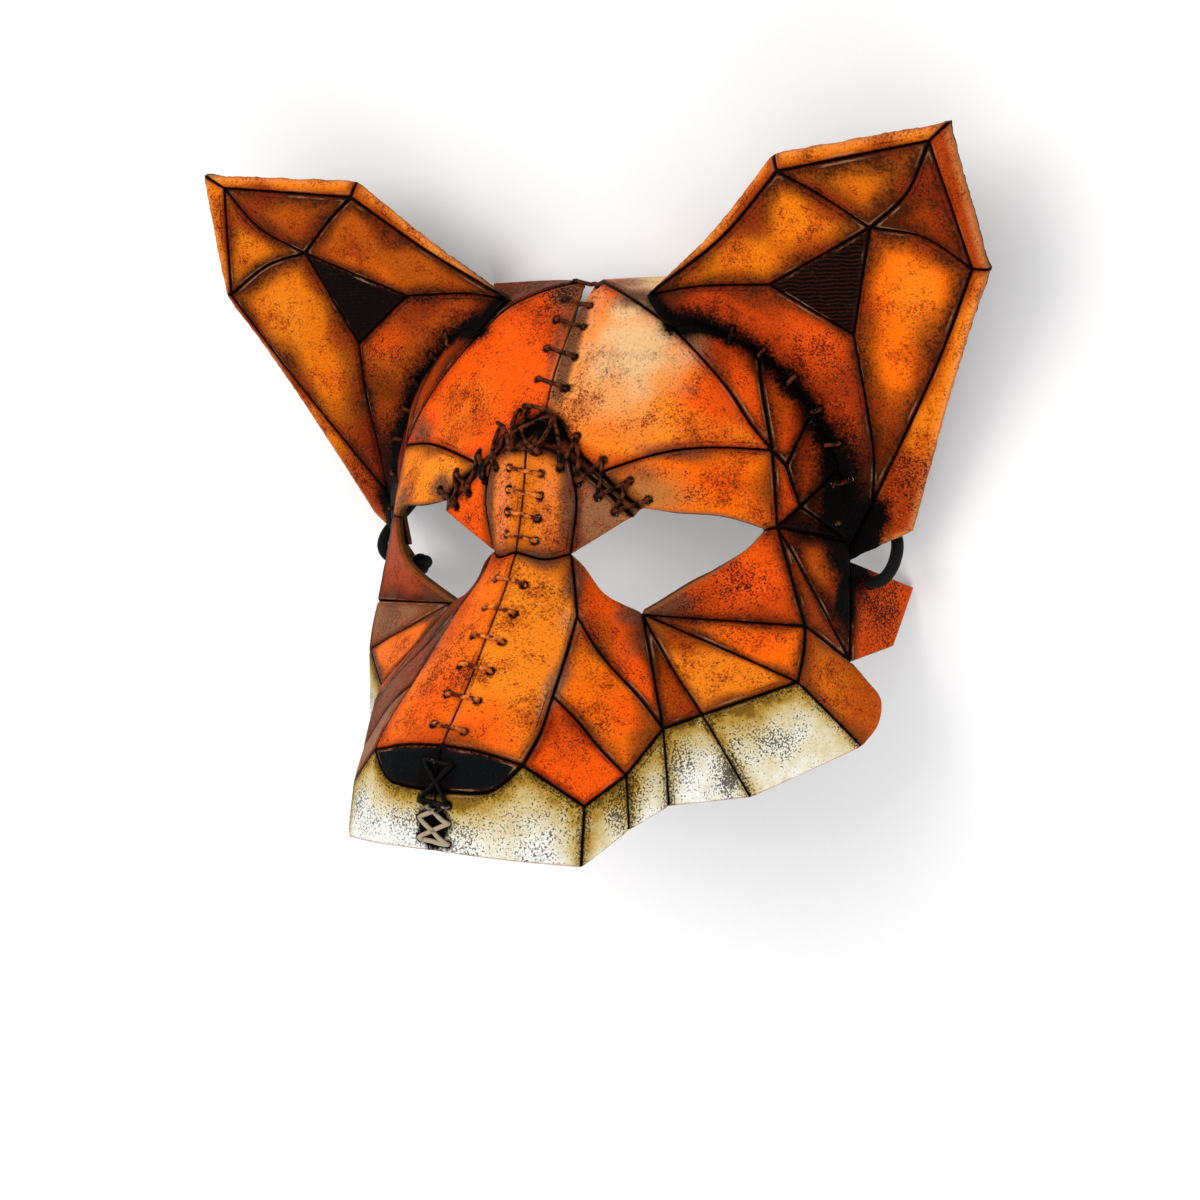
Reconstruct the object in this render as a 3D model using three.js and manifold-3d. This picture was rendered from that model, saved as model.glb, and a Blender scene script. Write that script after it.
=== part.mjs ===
// Leather fox mask: two carved face halves and two ears, laced together with thongs, and its tie cord.
// Millimetres, +Z up. The mask lies face up on the top edge of its crown and on its two side tabs.
// Its shape is drawn in the worn frame (x across the face, y into the head, z up) and then laid down.
import * as THREE from 'three';
import { mergeVertices } from 'three/addons/utils/BufferGeometryUtils.js';
import Module from 'manifold-3d';

const wasm = await Module();
wasm.setup();

// Leather
const SKIN = 2.2;            // thickness of the leather below a carved line
const LINE_DEPTH = 1.0;      // depth of a carved line, so the panels are 3.2 mm thick
const LINE_HALF = 1.3;       // half the width of a carved line
const SEAM_HALF = 0.4;       // each half stops this far from the middle plane
const EAR_GAP = 0.8;         // play between the face and the base of an ear
const EAR_START = 9;         // the base of an ear starts this far from the shoulder of the face
const PUFF = 0.035;          // rise of a moulded panel, as a share of its width
const PUFF_HALFWAY = 0.75;   // share of that rise halfway to the middle of a large panel
const NARROW = 0.3;          // most of a panel's width that a carved line takes up
const SHARP_CORNER = 0.5;    // limits how far a raised panel draws back from its sharp corners
const SHARP_FOLD = 0.7;      // limits how much deeper the leather gets under a fold
const LONG_STRETCH = 17;     // a longer stretch of a bent line is drawn in two
const SMALL_PANEL = 900;     // square mm, below which a panel rises in one step

// Thongs and cord
const THONG_RADIUS = 0.8;
const THONG_SIDES = 4;
const THONG_PLAY = 0.5;      // half the room left between a thong and the leather
const TURN = 1.5;            // how far along a thong has gone once it is clear of its hole
const HOLE_RADIUS = 1.45;
const CORD_RADIUS = 2.25;
const CORD_SIDES = 8;
const CORD_STEP = 10;        // length of a straight stretch of the cord's tube
const CORD_HOLE_RADIUS = 2.8;
const KNOT_RADIUS = 4.6;     // a knot holds each end of the cord inside its tab
const TOUCH = 0.3;           // gap between pieces that touch

// How it lies: the worn frame leans back by LEAN and its middle is moved to the origin
const LEAN = THREE.MathUtils.degToRad(18.9);
const LAID_BACK = -21.86;
const LAID_UP = 89.73;

const S = SEAM_HALF;

// Where the carved lines of a face half meet, for the half on +x
const FACE = {
  crownTop: [3, 40.5, 101.5], shoulder: [39.5, 31, 83], crownCorner: [54, 58, 105],
  dartTop: [S, 14.5, 51.5], browStart: [25, 12, 31.2], browEnd: [41.7, 15.8, 18.7],
  bridgeTop: [S, 3, 36.8], bridgeCorner: [15.8, 6, 33.4], bridgeFoot: [S, 0, 0],
  flapTip: [39, 11.7, 14.8], temple: [77.5, 39, 40.5], templeBack: [81, 43, 35.5],
  templeFoot: [85, 47.8, 21.7], templeStar: [81, 39, 14],
  eyeInner: [15.7, 10.6, 0.7], eyeFoot: [39.4, 21.5, -18.9], eyeOuter: [78.3, 36.3, 12.8],
  earHigh: [66.5, 45, 78.2], earMiddle: [86.1, 54, 58.1], earLow: [94.7, 57.5, 35.6],
  earDeep: [97.8, 61, 11], earFoot: [97, 66.6, 3.7],
  ridgeHigh: [24.1, 3, -21.1], ridgeLow: [28.3, -17, -48.2],
  noseTop: [S, -39, -66.3], noseFoot: [S, -41, -81.6], noseCorner: [29.7, -35.7, -70.4],
  lip: [S, -40.8, -101], lipSide: [47.1, -24.2, -102.6], mouthSide: [46.4, -23.1, -82.9],
  cheekA: [53.5, -9, -72.7], cheekB: [59.5, 4, -57], cheekC: [67, 17.5, -52],
  cheekD: [91, 41.8, -39.3], cheekTip: [91, 45.4, -19.9],
  jawA: [54.5, -7, -90.8], jawB: [63, 4.5, -82.6], jawC: [80, 32, -79.5], jawD: [105, 68, -61],
  tabFold: [100, 64.7, -31.6], tabLow: [107.8, 84.7, -25.3], tabTip: [110, 95.4, -3.9],
};

// Points that a line passes on its way between two of those
const FACE_BENDS = {
  'crownTop dartTop': [[1, 30, 86], [S, 19, 65]],
  'crownTop shoulder': [[12, 34, 98.5], [26.5, 28.5, 91.5]],
  'crownTop crownCorner': [[22, 49, 103.5]],
  'shoulder temple': [[51, 32, 72.5], [62, 33.5, 61], [70.5, 35, 49.5]],
  'dartTop browStart': [[14.5, 11, 38.7]],
  'browStart browEnd': [[34.6, 13.5, 24.9]],
  'browStart temple': [[40.5, 18.5, 36], [51, 22.5, 38.8], [62, 30, 40.3]],
  'bridgeTop bridgeCorner': [[7.2, 3, 37.2]],
  'bridgeCorner flapTip': [[25.5, 9, 26.1]],
  'bridgeTop bridgeFoot': [[S, 2.6, 18.8]],
  'bridgeCorner eyeInner': [[18.7, 7.5, 19.6]],
  'bridgeFoot eyeInner': [[9.2, 4, -1.9]],
  'bridgeFoot noseTop': [[S, -5.7, -13.2], [S, -16, -30.7], [S, -25, -46]],
  'eyeInner ridgeHigh': [[18.4, 9, -8.3]],
  'ridgeHigh ridgeLow': [[26.3, -6, -33.5]],
  'ridgeLow noseCorner': [[30.2, -27, -60.5]],
  'eyeInner eyeFoot': [[20, 12, -3.2], [26.5, 16.5, -13]],
  'eyeFoot eyeOuter': [[58, 20.5, -8], [67, 25, -1.4], [74.4, 32, 6.5]],
  'browEnd eyeOuter': [[54.5, 17, 17], [66.6, 23.5, 16.8], [74.5, 31, 14.8]],
  'shoulder earHigh': [[49.7, 33, 83.8]],
  'earHigh earMiddle': [[78.4, 48.5, 66.9]],
  'earMiddle earLow': [[90.3, 57, 49.6]],
  'earLow earDeep': [[97.4, 59, 25.2]],
  'temple earHigh': [[71.4, 40, 63.5]],
  'noseTop noseCorner': [[14, -38.5, -67.2]],
  'noseFoot noseCorner': [[19.9, -39.5, -79.8], [24.6, -38, -76.4]],
  'lip lipSide': [[26, -36, -101.8]],
  'ridgeHigh cheekB': [[34.6, 2, -33.5], [50.7, 3, -47.8]],
  'ridgeLow cheekA': [[37, -16, -55.2], [45.5, -13, -64.7]],
  'eyeFoot cheekC': [[46, 20, -27.5], [55.5, 18.5, -39.1]],
  'cheekTip cheekD': [[91.6, 44, -28.7]],
  'jawD tabFold': [[109, 71.8, -53], [110, 70.8, -44.4], [107, 64.3, -37.4]],
  'tabLow tabTip': [[109.1, 91.1, -12.8]],
};

// The carved panels of a face half, each named by the corners round it, anticlockwise from outside
const FACE_PANELS = [
  'crownTop dartTop browStart temple shoulder',
  'dartTop bridgeTop bridgeCorner flapTip browEnd browStart',
  'crownTop shoulder crownCorner',
  'browStart browEnd eyeOuter templeStar temple',
  'shoulder temple earHigh',
  'temple templeBack earMiddle earHigh',
  'templeBack templeFoot earLow earMiddle',
  'temple templeStar templeFoot templeBack',
  'templeStar earDeep templeFoot',
  'templeFoot earDeep earLow',
  'templeStar tabFold earFoot earDeep',
  'cheekTip tabFold templeStar',
  'tabFold tabLow tabTip earFoot',
  'bridgeTop bridgeFoot eyeInner bridgeCorner',
  'bridgeCorner eyeInner flapTip',
  'bridgeFoot noseTop noseCorner ridgeLow ridgeHigh eyeInner',
  'noseTop noseFoot noseCorner',
  'noseFoot lip lipSide mouthSide noseCorner',
  'eyeInner ridgeHigh cheekB eyeFoot',
  'ridgeHigh ridgeLow cheekA cheekB',
  'ridgeLow noseCorner mouthSide cheekA',
  'eyeFoot cheekB cheekC',
  'eyeFoot cheekC cheekD',
  'eyeFoot cheekD cheekTip',
  'eyeFoot cheekTip templeStar eyeOuter',
  'mouthSide lipSide jawA cheekA',
  'cheekA jawA jawB cheekB',
  'cheekB jawB jawC cheekC',
  'cheekC jawC jawD cheekD',
  'cheekD jawD tabFold cheekTip',
];

// Corners of an ear. Its base follows the side edge of the face and is added to these by earDrawing.
const EAR = {
  innerTop: [86.3, 9.5, 136.6], tip: [151.3, -1.7, 140.3], outer: [158.1, 23.4, 98.3],
  heel: [117, 75, 16.3], rimInner: [88.1, 8.8, 130.8], rimTip: [143.9, 1.8, 135.9],
  rimOuter: [152.5, 24, 98.9], rimHeel: [104.2, 68.1, 24.5], heart: [117.6, 20.6, 113.2],
  darkInner: [76.3, 32.2, 97.4], darkFoot: [105, 41.7, 80.8], start: [29.2, 30.2, 94.2],
};

const EAR_BENDS = {
  'innerTop start': [[58.5, 22.5, 114.5]],
  'rimInner start': [[62, 22.5, 112.5]],
  'rimInner heart': [[101, 13.5, 124]],
  'darkInner start': [[47, 32.5, 97.5]],
  'start base': [[37.5, 28.5, 86], [43, 31, 84.2]],
  'outer heel': [[140.5, 45, 65.5]],
  'rimOuter rimHeel': [[136.5, 41, 72.5]],
  'darkFoot rimHeel': [[106.6, 51.5, 59.4], [106.6, 62, 39.7]],
};

const EAR_PANELS = [
  'innerTop rimInner rimTip tip',
  'tip rimTip rimOuter outer',
  'outer rimOuter rimHeel foot heel',
  'innerTop start rimInner',
  'rimInner heart rimTip',
  'rimTip heart rimOuter',
  'rimInner start darkInner heart',
  'heart darkInner darkFoot',
  'rimOuter heart darkFoot rimHeel',
  'darkInner start base foot rimHeel darkFoot',
];

// The tabs are left flat
const FLAT_PANEL = 'tabFold tabLow tabTip earFoot';

// Under the lacing of the dart the leather stays at the depth of a carved line
const SUNK_PANEL = 'dartTop bridgeTop bridgeCorner flapTip browEnd browStart';

// Sheets: a drawing of corners, bends and panels becomes points, rings of points and panel normals

// The points between the ends of a line that bends smoothly through its stops
function bentLine(stops) {
  const curve = new THREE.CatmullRomCurve3(stops);
  const last = stops.length - 1;
  return stops.slice(1).flatMap((stop, i) => {
    const ends = i < last - 1 ? [stop] : [];
    const long = stop.distanceTo(stops[i]) > LONG_STRETCH;
    return long ? [curve.getPoint((i + 0.5) / last), ...ends] : ends;
  });
}

function drawSheet({ corners, bends, panels }, side) {
  const points = new Map();
  const lines = new Map();
  const place = (p) => new THREE.Vector3(p[0] * side, p[1], p[2]);
  Object.entries(corners).forEach(([name, p]) => points.set(name, place(p)));
  Object.entries(bends).forEach(([line, stops]) => {
    const [a, b] = line.split(' ');
    const names = bentLine([corners[a], ...stops, corners[b]].map(place)).map((p, i) => {
      points.set(`${line} ${i}`, p);
      return `${line} ${i}`;
    });
    lines.set(line, names).set(`${b} ${a}`, [...names].reverse());
  });

  const between = (a, b) => lines.get(`${a} ${b}`) ?? [];
  const rings = panels.map((panel) => {
    const stops = panel.split(' ');
    const ring = stops.flatMap((a, i) => [a, ...between(a, stops[(i + 1) % stops.length])]);
    return side > 0 ? ring : ring.reverse();
  });
  const sunk = panels.map((panel) => panel === SUNK_PANEL);
  const puffs = panels.map((panel, i) => (sunk[i] || panel === FLAT_PANEL ? 0 : PUFF));
  return { points, rings, sunk, puffs, between };
}

function ringNormal(ring) {
  const normal = new THREE.Vector3();
  ring.forEach((p, i) => normal.add(new THREE.Vector3().crossVectors(p, ring[(i + 1) % ring.length])));
  return normal;
}

// Outward directions at the points, from the panels that meet there
function pointNormals({ points, rings }) {
  const sums = new Map([...points.keys()].map((name) => [name, new THREE.Vector3()]));
  for (const names of rings) {
    const ring = names.map((name) => points.get(name));
    const face = ringNormal(ring).normalize();
    names.forEach((name, i) => {
      const before = ring.at(i - 1).clone().sub(ring[i]);
      const after = ring[(i + 1) % ring.length].clone().sub(ring[i]);
      sums.get(name).addScaledVector(face, before.angleTo(after));
    });
  }
  sums.forEach((normal) => normal.normalize());
  return sums;
}

// How far the inner face of the leather lies from each point of the outer one
function pointDepths(sheet, normals) {
  const nearest = new Map([...normals.keys()].map((name) => [name, 1]));
  for (const names of sheet.rings) {
    const face = ringNormal(names.map((name) => sheet.points.get(name))).normalize();
    names.forEach((name) => {
      nearest.set(name, Math.min(nearest.get(name), normals.get(name).dot(face)));
    });
  }
  return new Map([...nearest].map(([name, share]) => [name, SKIN / Math.max(share, SHARP_FOLD)]));
}

function innerPoint(name, sheet, normals, depths) {
  const point = sheet.points.get(name);
  const step = normals.get(name).clone().negate();
  if (Math.abs(point.x) < SEAM_HALF + 0.01) step.setX(0).normalize();
  return point.clone().addScaledVector(step, depths.get(name));
}

// How far a point of a ring is from the sides of the ring that it isn't on
function clearWidth(point, ring) {
  const nearest = new THREE.Vector3();
  const gaps = ring.map((from, i) => {
    const to = ring[(i + 1) % ring.length];
    if (from === point || to === point) return Infinity;
    new THREE.Line3(from, to).closestPointToPoint(point, true, nearest);
    return nearest.distanceTo(point);
  });
  return Math.min(...gaps);
}

// A ring moved inwards by half a carved line and raised to the top of the panel, less where it is narrow
function raisedRing(ring, face) {
  return ring.map((point, i) => {
    const before = point.clone().sub(ring.at(i - 1)).normalize().cross(face).negate();
    const after = ring[(i + 1) % ring.length].clone().sub(point).normalize().cross(face).negate();
    const inward = before.clone().add(after).divideScalar(Math.max(1 + before.dot(after), SHARP_CORNER));
    const share = Math.min(1, (NARROW * clearWidth(point, ring)) / LINE_HALF);
    return point.clone().addScaledVector(inward, share * LINE_HALF).addScaledVector(face, share * LINE_DEPTH);
  });
}

function middle(ring) {
  const sum = new THREE.Vector3();
  let length = 0;
  ring.forEach((point, i) => {
    const next = ring[(i + 1) % ring.length];
    const side = point.distanceTo(next);
    sum.addScaledVector(point, side / 2).addScaledVector(next, side / 2);
    length += side;
  });
  return sum.divideScalar(length);
}

function seesWholeRing(centre, ring, face) {
  return ring.every((point, i) => {
    const next = ring[(i + 1) % ring.length];
    return point.clone().sub(centre).cross(next.clone().sub(centre)).dot(face) > 0;
  });
}

function turnsAt(a, b, c, face) {
  return b.clone().sub(a).cross(c.clone().sub(a)).dot(face);
}

// How good a triangle of three neighbours of a ring is: full for its sides, and empty of other points
function triangleWorth([a, b, c], others, face) {
  const longest = Math.max(a.distanceToSquared(b), b.distanceToSquared(c), c.distanceToSquared(a));
  const holds = (p) => [[a, b], [b, c], [c, a]].every(([from, to]) => turnsAt(from, to, p, face) >= 0);
  const crowded = others.some((p) => p !== a && p !== b && p !== c && holds(p));
  return turnsAt(a, b, c, face) / longest - (crowded ? 2 : 0);
}

// Closes a ring without a middle point, by triangles cut off it one by one, the best first
function cornerFill(ring, face) {
  const triangles = [];
  let left = ring.map((_, i) => i);
  while (left.length > 3) {
    const cuts = left.map((stop, i) => [left.at(i - 1), stop, left[(i + 1) % left.length]]);
    const places = left.map((i) => ring[i]);
    const worths = cuts.map((cut) => triangleWorth(cut.map((i) => ring[i]), places, face));
    const best = cuts[worths.indexOf(Math.max(...worths))];
    triangles.push(best);
    left = left.filter((i) => i !== best[1]);
  }
  return [...triangles, left];
}

// The way to close a ring that serves both faces of the leather: a fan, or triangles of its own points
function closingOf(ring) {
  const face = ringNormal(ring).normalize();
  if (seesWholeRing(middle(ring), ring, face)) return fan;
  const fill = cornerFill(ring, face);
  return (_, places) => fill.map((triangle) => triangle.map((i) => places[i]));
}

function fan(centre, ring) {
  return ring.map((point, i) => [point, ring[(i + 1) % ring.length], centre]);
}

function band(low, high) {
  return low.flatMap((point, i) => {
    const j = (i + 1) % low.length;
    return [[point, low[j], high[j]], [point, high[j], high[i]]];
  });
}

// The outside of one panel: carved line, shoulder and moulded middle
function panelOutside(ring, puff, close) {
  const normal = ringNormal(ring);
  const area = normal.length() / 2;
  const face = normal.normalize();
  const rise = puff * Math.sqrt(area);
  const raised = raisedRing(ring, face);
  const centre = middle(raised);
  const top = centre.clone().addScaledVector(face, rise);
  if (area < SMALL_PANEL || close !== fan) return [...band(ring, raised), ...close(top, raised)];
  const halfway = raised.map((p) => p.clone().lerp(centre, 0.5).addScaledVector(face, PUFF_HALFWAY * rise));
  return [...band(ring, raised), ...band(raised, halfway), ...fan(top, halfway)];
}

// The inside of one panel, plain leather that follows the outside
function panelInside(ring, puff, close) {
  const normal = ringNormal(ring);
  const rise = puff * Math.sqrt(normal.length() / 2);
  const top = middle(ring).addScaledVector(normal.normalize(), rise);
  return close(top, ring).map(([a, b, c]) => [a, c, b]);
}

// The cut edge of the leather, along every side that only one panel has
function cutEdge({ points, rings }, inner) {
  const sides = new Set();
  rings.forEach((names) => names.forEach((a, i) => sides.add(`${a}>${names[(i + 1) % names.length]}`)));
  const triangles = [];
  for (const side of sides) {
    const [a, b] = side.split('>');
    if (sides.has(`${b}>${a}`)) continue;
    triangles.push([points.get(b), points.get(a), inner.get(a)]);
    triangles.push([points.get(b), inner.get(a), inner.get(b)]);
  }
  return triangles;
}

function carveSheet(drawing, side) {
  const sheet = drawSheet(drawing, side);
  const normals = pointNormals(sheet);
  const depths = pointDepths(sheet, normals);
  const used = new Set(sheet.rings.flat());
  const inner = new Map([...used].map((name) => [name, innerPoint(name, sheet, normals, depths)]));
  const ringsIn = (places) => sheet.rings.map((names) => names.map((name) => places.get(name)));
  const closings = ringsIn(sheet.points).map(closingOf);
  const outside = ringsIn(sheet.points).flatMap((ring, i) => (
    sheet.sunk[i] ? closings[i](middle(ring), ring) : panelOutside(ring, sheet.puffs[i], closings[i])
  ));
  const inside = ringsIn(inner).flatMap((r, i) => panelInside(r, sheet.puffs[i], closings[i]));
  const solid = solidFrom(geometryFrom([...outside, ...inside, ...cutEdge(sheet, inner)]));
  return { ...sheet, normals, outside, inside, solid };
}

// Meshes and solids

function geometryFrom(triangles) {
  const geometry = new THREE.BufferGeometry();
  const numbers = triangles.flatMap((triangle) => triangle.flatMap((p) => p.toArray()));
  geometry.setAttribute('position', new THREE.Float32BufferAttribute(numbers, 3));
  return geometry;
}

function solidFrom(geometry) {
  const bare = geometry.clone();
  bare.deleteAttribute('normal');
  bare.deleteAttribute('uv');
  const merged = mergeVertices(bare, 1e-4);
  const vertProperties = new Float32Array(merged.attributes.position.array);
  const triVerts = new Uint32Array(merged.index.array);
  return new wasm.Manifold(new wasm.Mesh({ numProp: 3, vertProperties, triVerts }));
}

function geometryOf(solid) {
  const mesh = solid.getMesh();
  const geometry = new THREE.BufferGeometry();
  geometry.setAttribute('position', new THREE.Float32BufferAttribute(mesh.vertProperties, 3));
  geometry.setIndex(new THREE.Uint32BufferAttribute(mesh.triVerts, 1));
  geometry.computeVertexNormals();
  return geometry;
}

// Ears: the base line runs EAR_GAP outside the side edge of the face

function sideEdge(sheet) {
  const stops = ['shoulder', 'earHigh', 'earMiddle', 'earLow', 'earDeep'];
  const names = stops.flatMap((a, i) => [a, ...sheet.between(a, stops[i + 1])]);
  return [...names, 'earFoot'].map((name) => ({
    place: sheet.points.get(name), normal: sheet.normals.get(name),
  }));
}

function earDrawing(face) {
  const edge = sideEdge(face);
  const fromShoulder = edge.map(({ place, normal }, i) => {
    const before = edge[Math.max(i - 1, 0)].place;
    const after = edge[Math.min(i + 1, edge.length - 1)].place;
    const along = after.clone().sub(before).normalize();
    return place.clone().addScaledVector(normal.clone().cross(along).normalize(), EAR_GAP).toArray();
  });
  const shoulder = edge[0].place;
  const base = fromShoulder.filter((p) => shoulder.distanceTo(new THREE.Vector3(...p)) > EAR_START);
  const corners = { ...EAR, base: base[0], foot: base.at(-1) };
  return { corners, bends: { ...EAR_BENDS, 'base foot': base.slice(1, -1) }, panels: EAR_PANELS };
}

// Thongs: each runs through holes beside a seam, over it outside and on to the next pair inside

class Route extends THREE.Curve {
  constructor(stops) {
    super();
    this.stops = stops;
  }

  getPoint(t, target = new THREE.Vector3()) {
    const at = THREE.MathUtils.clamp(t, 0, 1) * (this.stops.length - 1);
    const i = Math.min(Math.floor(at), this.stops.length - 2);
    return target.lerpVectors(this.stops[i], this.stops[i + 1], at - i);
  }

  getPointAt(u, target) {
    return this.getPoint(u, target);
  }

  getTangentAt(u, target = new THREE.Vector3()) {
    const step = 0.5 / (this.stops.length - 1);
    return target.subVectors(this.getPoint(u + step), this.getPoint(u - step)).normalize();
  }
}

function roundTube(curve, radius, sides, steps) {
  const turns = Array.from({ length: sides }, (_, i) => (2 * Math.PI * i) / sides);
  const section = new THREE.Shape(
    turns.map((turn) => new THREE.Vector2(Math.cos(turn), Math.sin(turn)).multiplyScalar(radius)),
  );
  return new THREE.ExtrudeGeometry(section, { steps, extrudePath: curve, bevelEnabled: false });
}

// The nearest place on a surface of the leather, with the direction out of the leather there
function onLeather(surface, target) {
  const triangle = new THREE.Triangle();
  const found = new THREE.Vector3();
  let best = { gap: Infinity };
  for (const [a, b, c] of surface) {
    triangle.set(a, b, c).closestPointToPoint(target, found);
    const gap = found.distanceTo(target);
    if (gap < best.gap) best = { gap, place: found.clone(), out: triangle.getNormal(new THREE.Vector3()) };
  }
  return best;
}

const OVER = THONG_RADIUS + 2 * THONG_PLAY;
const PANEL = SKIN + LINE_DEPTH;
const UNDER = PANEL + THONG_RADIUS + 3 * THONG_PLAY;

const away = (hole, reach) => hole.place.clone().addScaledVector(hole.out, reach);

// A stop on a straight run of a thong, where the leather would be most in its way
function clearStop(from, to, out, surface) {
  const places = [0.25, 0.5, 0.75].map((share) => from.clone().lerp(to, share));
  const lifts = places.map((place) => OVER - place.clone().sub(onLeather(surface, place).place).dot(out));
  const lift = Math.max(...lifts);
  return lift > 0 ? [places[lifts.indexOf(lift)].addScaledVector(out, lift)] : [];
}

// Up through one hole, over the seam and down through the other
function crossing([a, b], outside) {
  const out = a.out.clone().add(b.out).normalize();
  const across = b.place.clone().sub(a.place).setLength(TURN);
  const rise = away(a, OVER).add(across);
  const fall = away(b, OVER).sub(across);
  const over = clearStop(rise, fall, out, outside);
  return [away(a, -UNDER), away(a, 0), rise, ...over, fall, away(b, 0), away(b, -UNDER)];
}

// On from one crossing to the next, inside the leather
function passing(from, to, inside) {
  const inwards = from.out.clone().add(to.out).normalize().negate();
  return clearStop(away(from, -UNDER), away(to, -UNDER), inwards, inside);
}

function holesNear(stitches, sheets) {
  const outside = sheets.flatMap((sheet) => sheet.outside);
  return stitches.map((stitch) => stitch.map((target) => onLeather(outside, target)));
}

function lace(holes, sheets) {
  const outside = sheets.flatMap((sheet) => sheet.outside);
  const inside = sheets.flatMap((sheet) => sheet.inside);
  const stops = holes.flatMap((pair, i) => {
    const onward = i < holes.length - 1 ? passing(pair[1], holes[i + 1][0], inside) : [];
    return [...crossing(pair, outside), ...onward];
  });
  const thong = solidFrom(roundTube(new Route(stops), THONG_RADIUS, THONG_SIDES, stops.length - 1));
  return { thong, holes: holes.flat() };
}

function punch(hole) {
  const route = new Route([away(hole, -2 * PANEL), away(hole, PANEL)]);
  return solidFrom(roundTube(route, HOLE_RADIUS, THONG_SIDES, 1));
}

// Tie cord, from a knot inside one tab, out through its hole, round under the ear and along the ground
// inside the mask to the other tab. CORD_ROUTE is its half on +x as the mask lies, to the middle.

const CORD_ROUTE = [
  [99, -49.7, 19.1], [102, -49, 20.2], [105, -48.2, 21.3], [108.6, -46.4, 21.9], [111, -43, 20.4],
  [111.4, -39.4, 16.6], [110.2, -36.2, 12], [107.4, -32.4, 7.6], [103, -27, 4.2], [97.5, -19.5, 2.5],
  [89, -7, 2.3], [76, 11, 2.3], [58, 27, 2.3], [36, 38, 2.3], [14, 43, 2.3],
];

const LAID = new THREE.Matrix4().makeRotationX(-(Math.PI / 2 + LEAN)).setPosition(0, LAID_BACK, LAID_UP);

function cordSolids() {
  const toWorn = LAID.clone().invert();
  const half = CORD_ROUTE.map((p) => new THREE.Vector3(...p).applyMatrix4(toWorn));
  const route = [...half, ...half.map(mirrored).reverse()];
  const curve = new THREE.CatmullRomCurve3(route);
  const steps = Math.round(curve.getLength() / CORD_STEP);
  const tube = solidFrom(roundTube(curve, CORD_RADIUS, CORD_SIDES, steps));
  const [end, next] = half;
  const knotAt = end.clone().add(end.clone().sub(next).setLength(TOUCH + KNOT_RADIUS));
  const holeEnds = [-2, 4].map((share) => end.clone().lerp(next, share));
  const knots = [knotAt, mirrored(knotAt)].map(knotSolid);
  const holes = [holeEnds, holeEnds.map(mirrored)].map(cordHole);
  return { tube, knots, holes };
}

function mirrored(p) {
  return new THREE.Vector3(-p.x, p.y, p.z);
}

function knotSolid(place) {
  return solidFrom(new THREE.IcosahedronGeometry(KNOT_RADIUS, 1).translate(...place.toArray()));
}

function cordHole(ends) {
  return solidFrom(roundTube(new Route(ends), CORD_HOLE_RADIUS, CORD_SIDES, 1));
}

// Stitches down the middle, each lower on +x than on -x by slant
function middleStitches(heights, half, slant, depthAt) {
  return heights.map((z) => [
    new THREE.Vector3(-half, depthAt(z), z + slant / 2),
    new THREE.Vector3(half, depthAt(z), z - slant / 2),
  ]);
}

const spaced = (from, step, count) => Array.from({ length: count }, (_, i) => from + step * i);

function polyline(stops, z) {
  const i = Math.max(1, stops.findIndex((p) => p[2] <= z));
  const [high, low] = [stops[i - 1], stops[i]];
  return THREE.MathUtils.mapLinear(z, high[2], low[2], high[1], low[1]);
}

const foreheadSeam = [FACE.crownTop, ...FACE_BENDS['crownTop dartTop'], FACE.dartTop];
const snoutSeam = [
  FACE.bridgeTop, ...FACE_BENDS['bridgeTop bridgeFoot'], FACE.bridgeFoot,
  ...FACE_BENDS['bridgeFoot noseTop'], FACE.noseTop,
];
const muzzleSeam = [FACE.noseTop, FACE.noseFoot, FACE.lip];

const FOREHEAD_STITCHES = middleStitches(
  [...spaced(99.5, -8, 3), ...spaced(72.5, -11.5, 2)], 6.5, 4, (z) => polyline(foreheadSeam, z),
);
const SNOUT_STITCHES = middleStitches(
  [...spaced(29, -7.8, 4), ...spaced(-10, -10.2, 6)], 6.5, 2, (z) => polyline(snoutSeam, z),
);
const MUZZLE_STITCHES = middleStitches(
  spaced(-75, -6.4, 4), 5.5, 4, (z) => polyline(muzzleSeam, z),
);

// Stitches across the dart, from holes in the brow to holes in the bridge flap
function dartStitches(side) {
  const browHoles = [[15.6, 11, 41.5], [26, 12, 34.1], [35.9, 13.5, 27.4], [43.9, 15.5, 21.6]];
  const flapHoles = [[13.3, 4.5, 31], [22.3, 8, 26.8], [27.5, 9.5, 21.5], [34, 11, 17]];
  const turned = ([x, y, z]) => new THREE.Vector3(x * side, y, z);
  return browHoles.map((hole, i) => [turned(hole), turned(flapHoles[i])]);
}

// Holes along the base of an ear, in pairs from the face to the ear, square to the leather at large
const EAR_STITCHES = spaced(0.18, 0.115, 7);
const EAR_REACH = 4.2;

function earHoles(face, ear) {
  const edge = sideEdge(face);
  const curve = new THREE.CatmullRomCurve3(edge.map(({ place }) => place));
  const normals = new THREE.CatmullRomCurve3(edge.map(({ normal }) => normal));
  const earOut = ear.normals.get('foot');
  return EAR_STITCHES.map((share) => {
    const t = curve.getUtoTmapping(share);
    const seam = curve.getPoint(t);
    const along = curve.getTangent(t);
    const faceOut = normals.getPoint(t).normalize();
    const toEar = earOut.clone().cross(along).normalize();
    if (toEar.dot(ear.points.get('darkFoot').clone().sub(seam)) < 0) toEar.negate();
    const toFace = faceOut.clone().cross(along).normalize();
    if (toFace.dot(toEar) > 0) toFace.negate();
    const onFace = onLeather(face.outside, seam.clone().addScaledVector(toFace, EAR_REACH));
    const onEar = onLeather(ear.outside, seam.clone().addScaledVector(toEar, EAR_REACH));
    return [{ place: onFace.place, out: faceOut }, { place: onEar.place, out: earOut }];
  });
}

// Assembly

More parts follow.
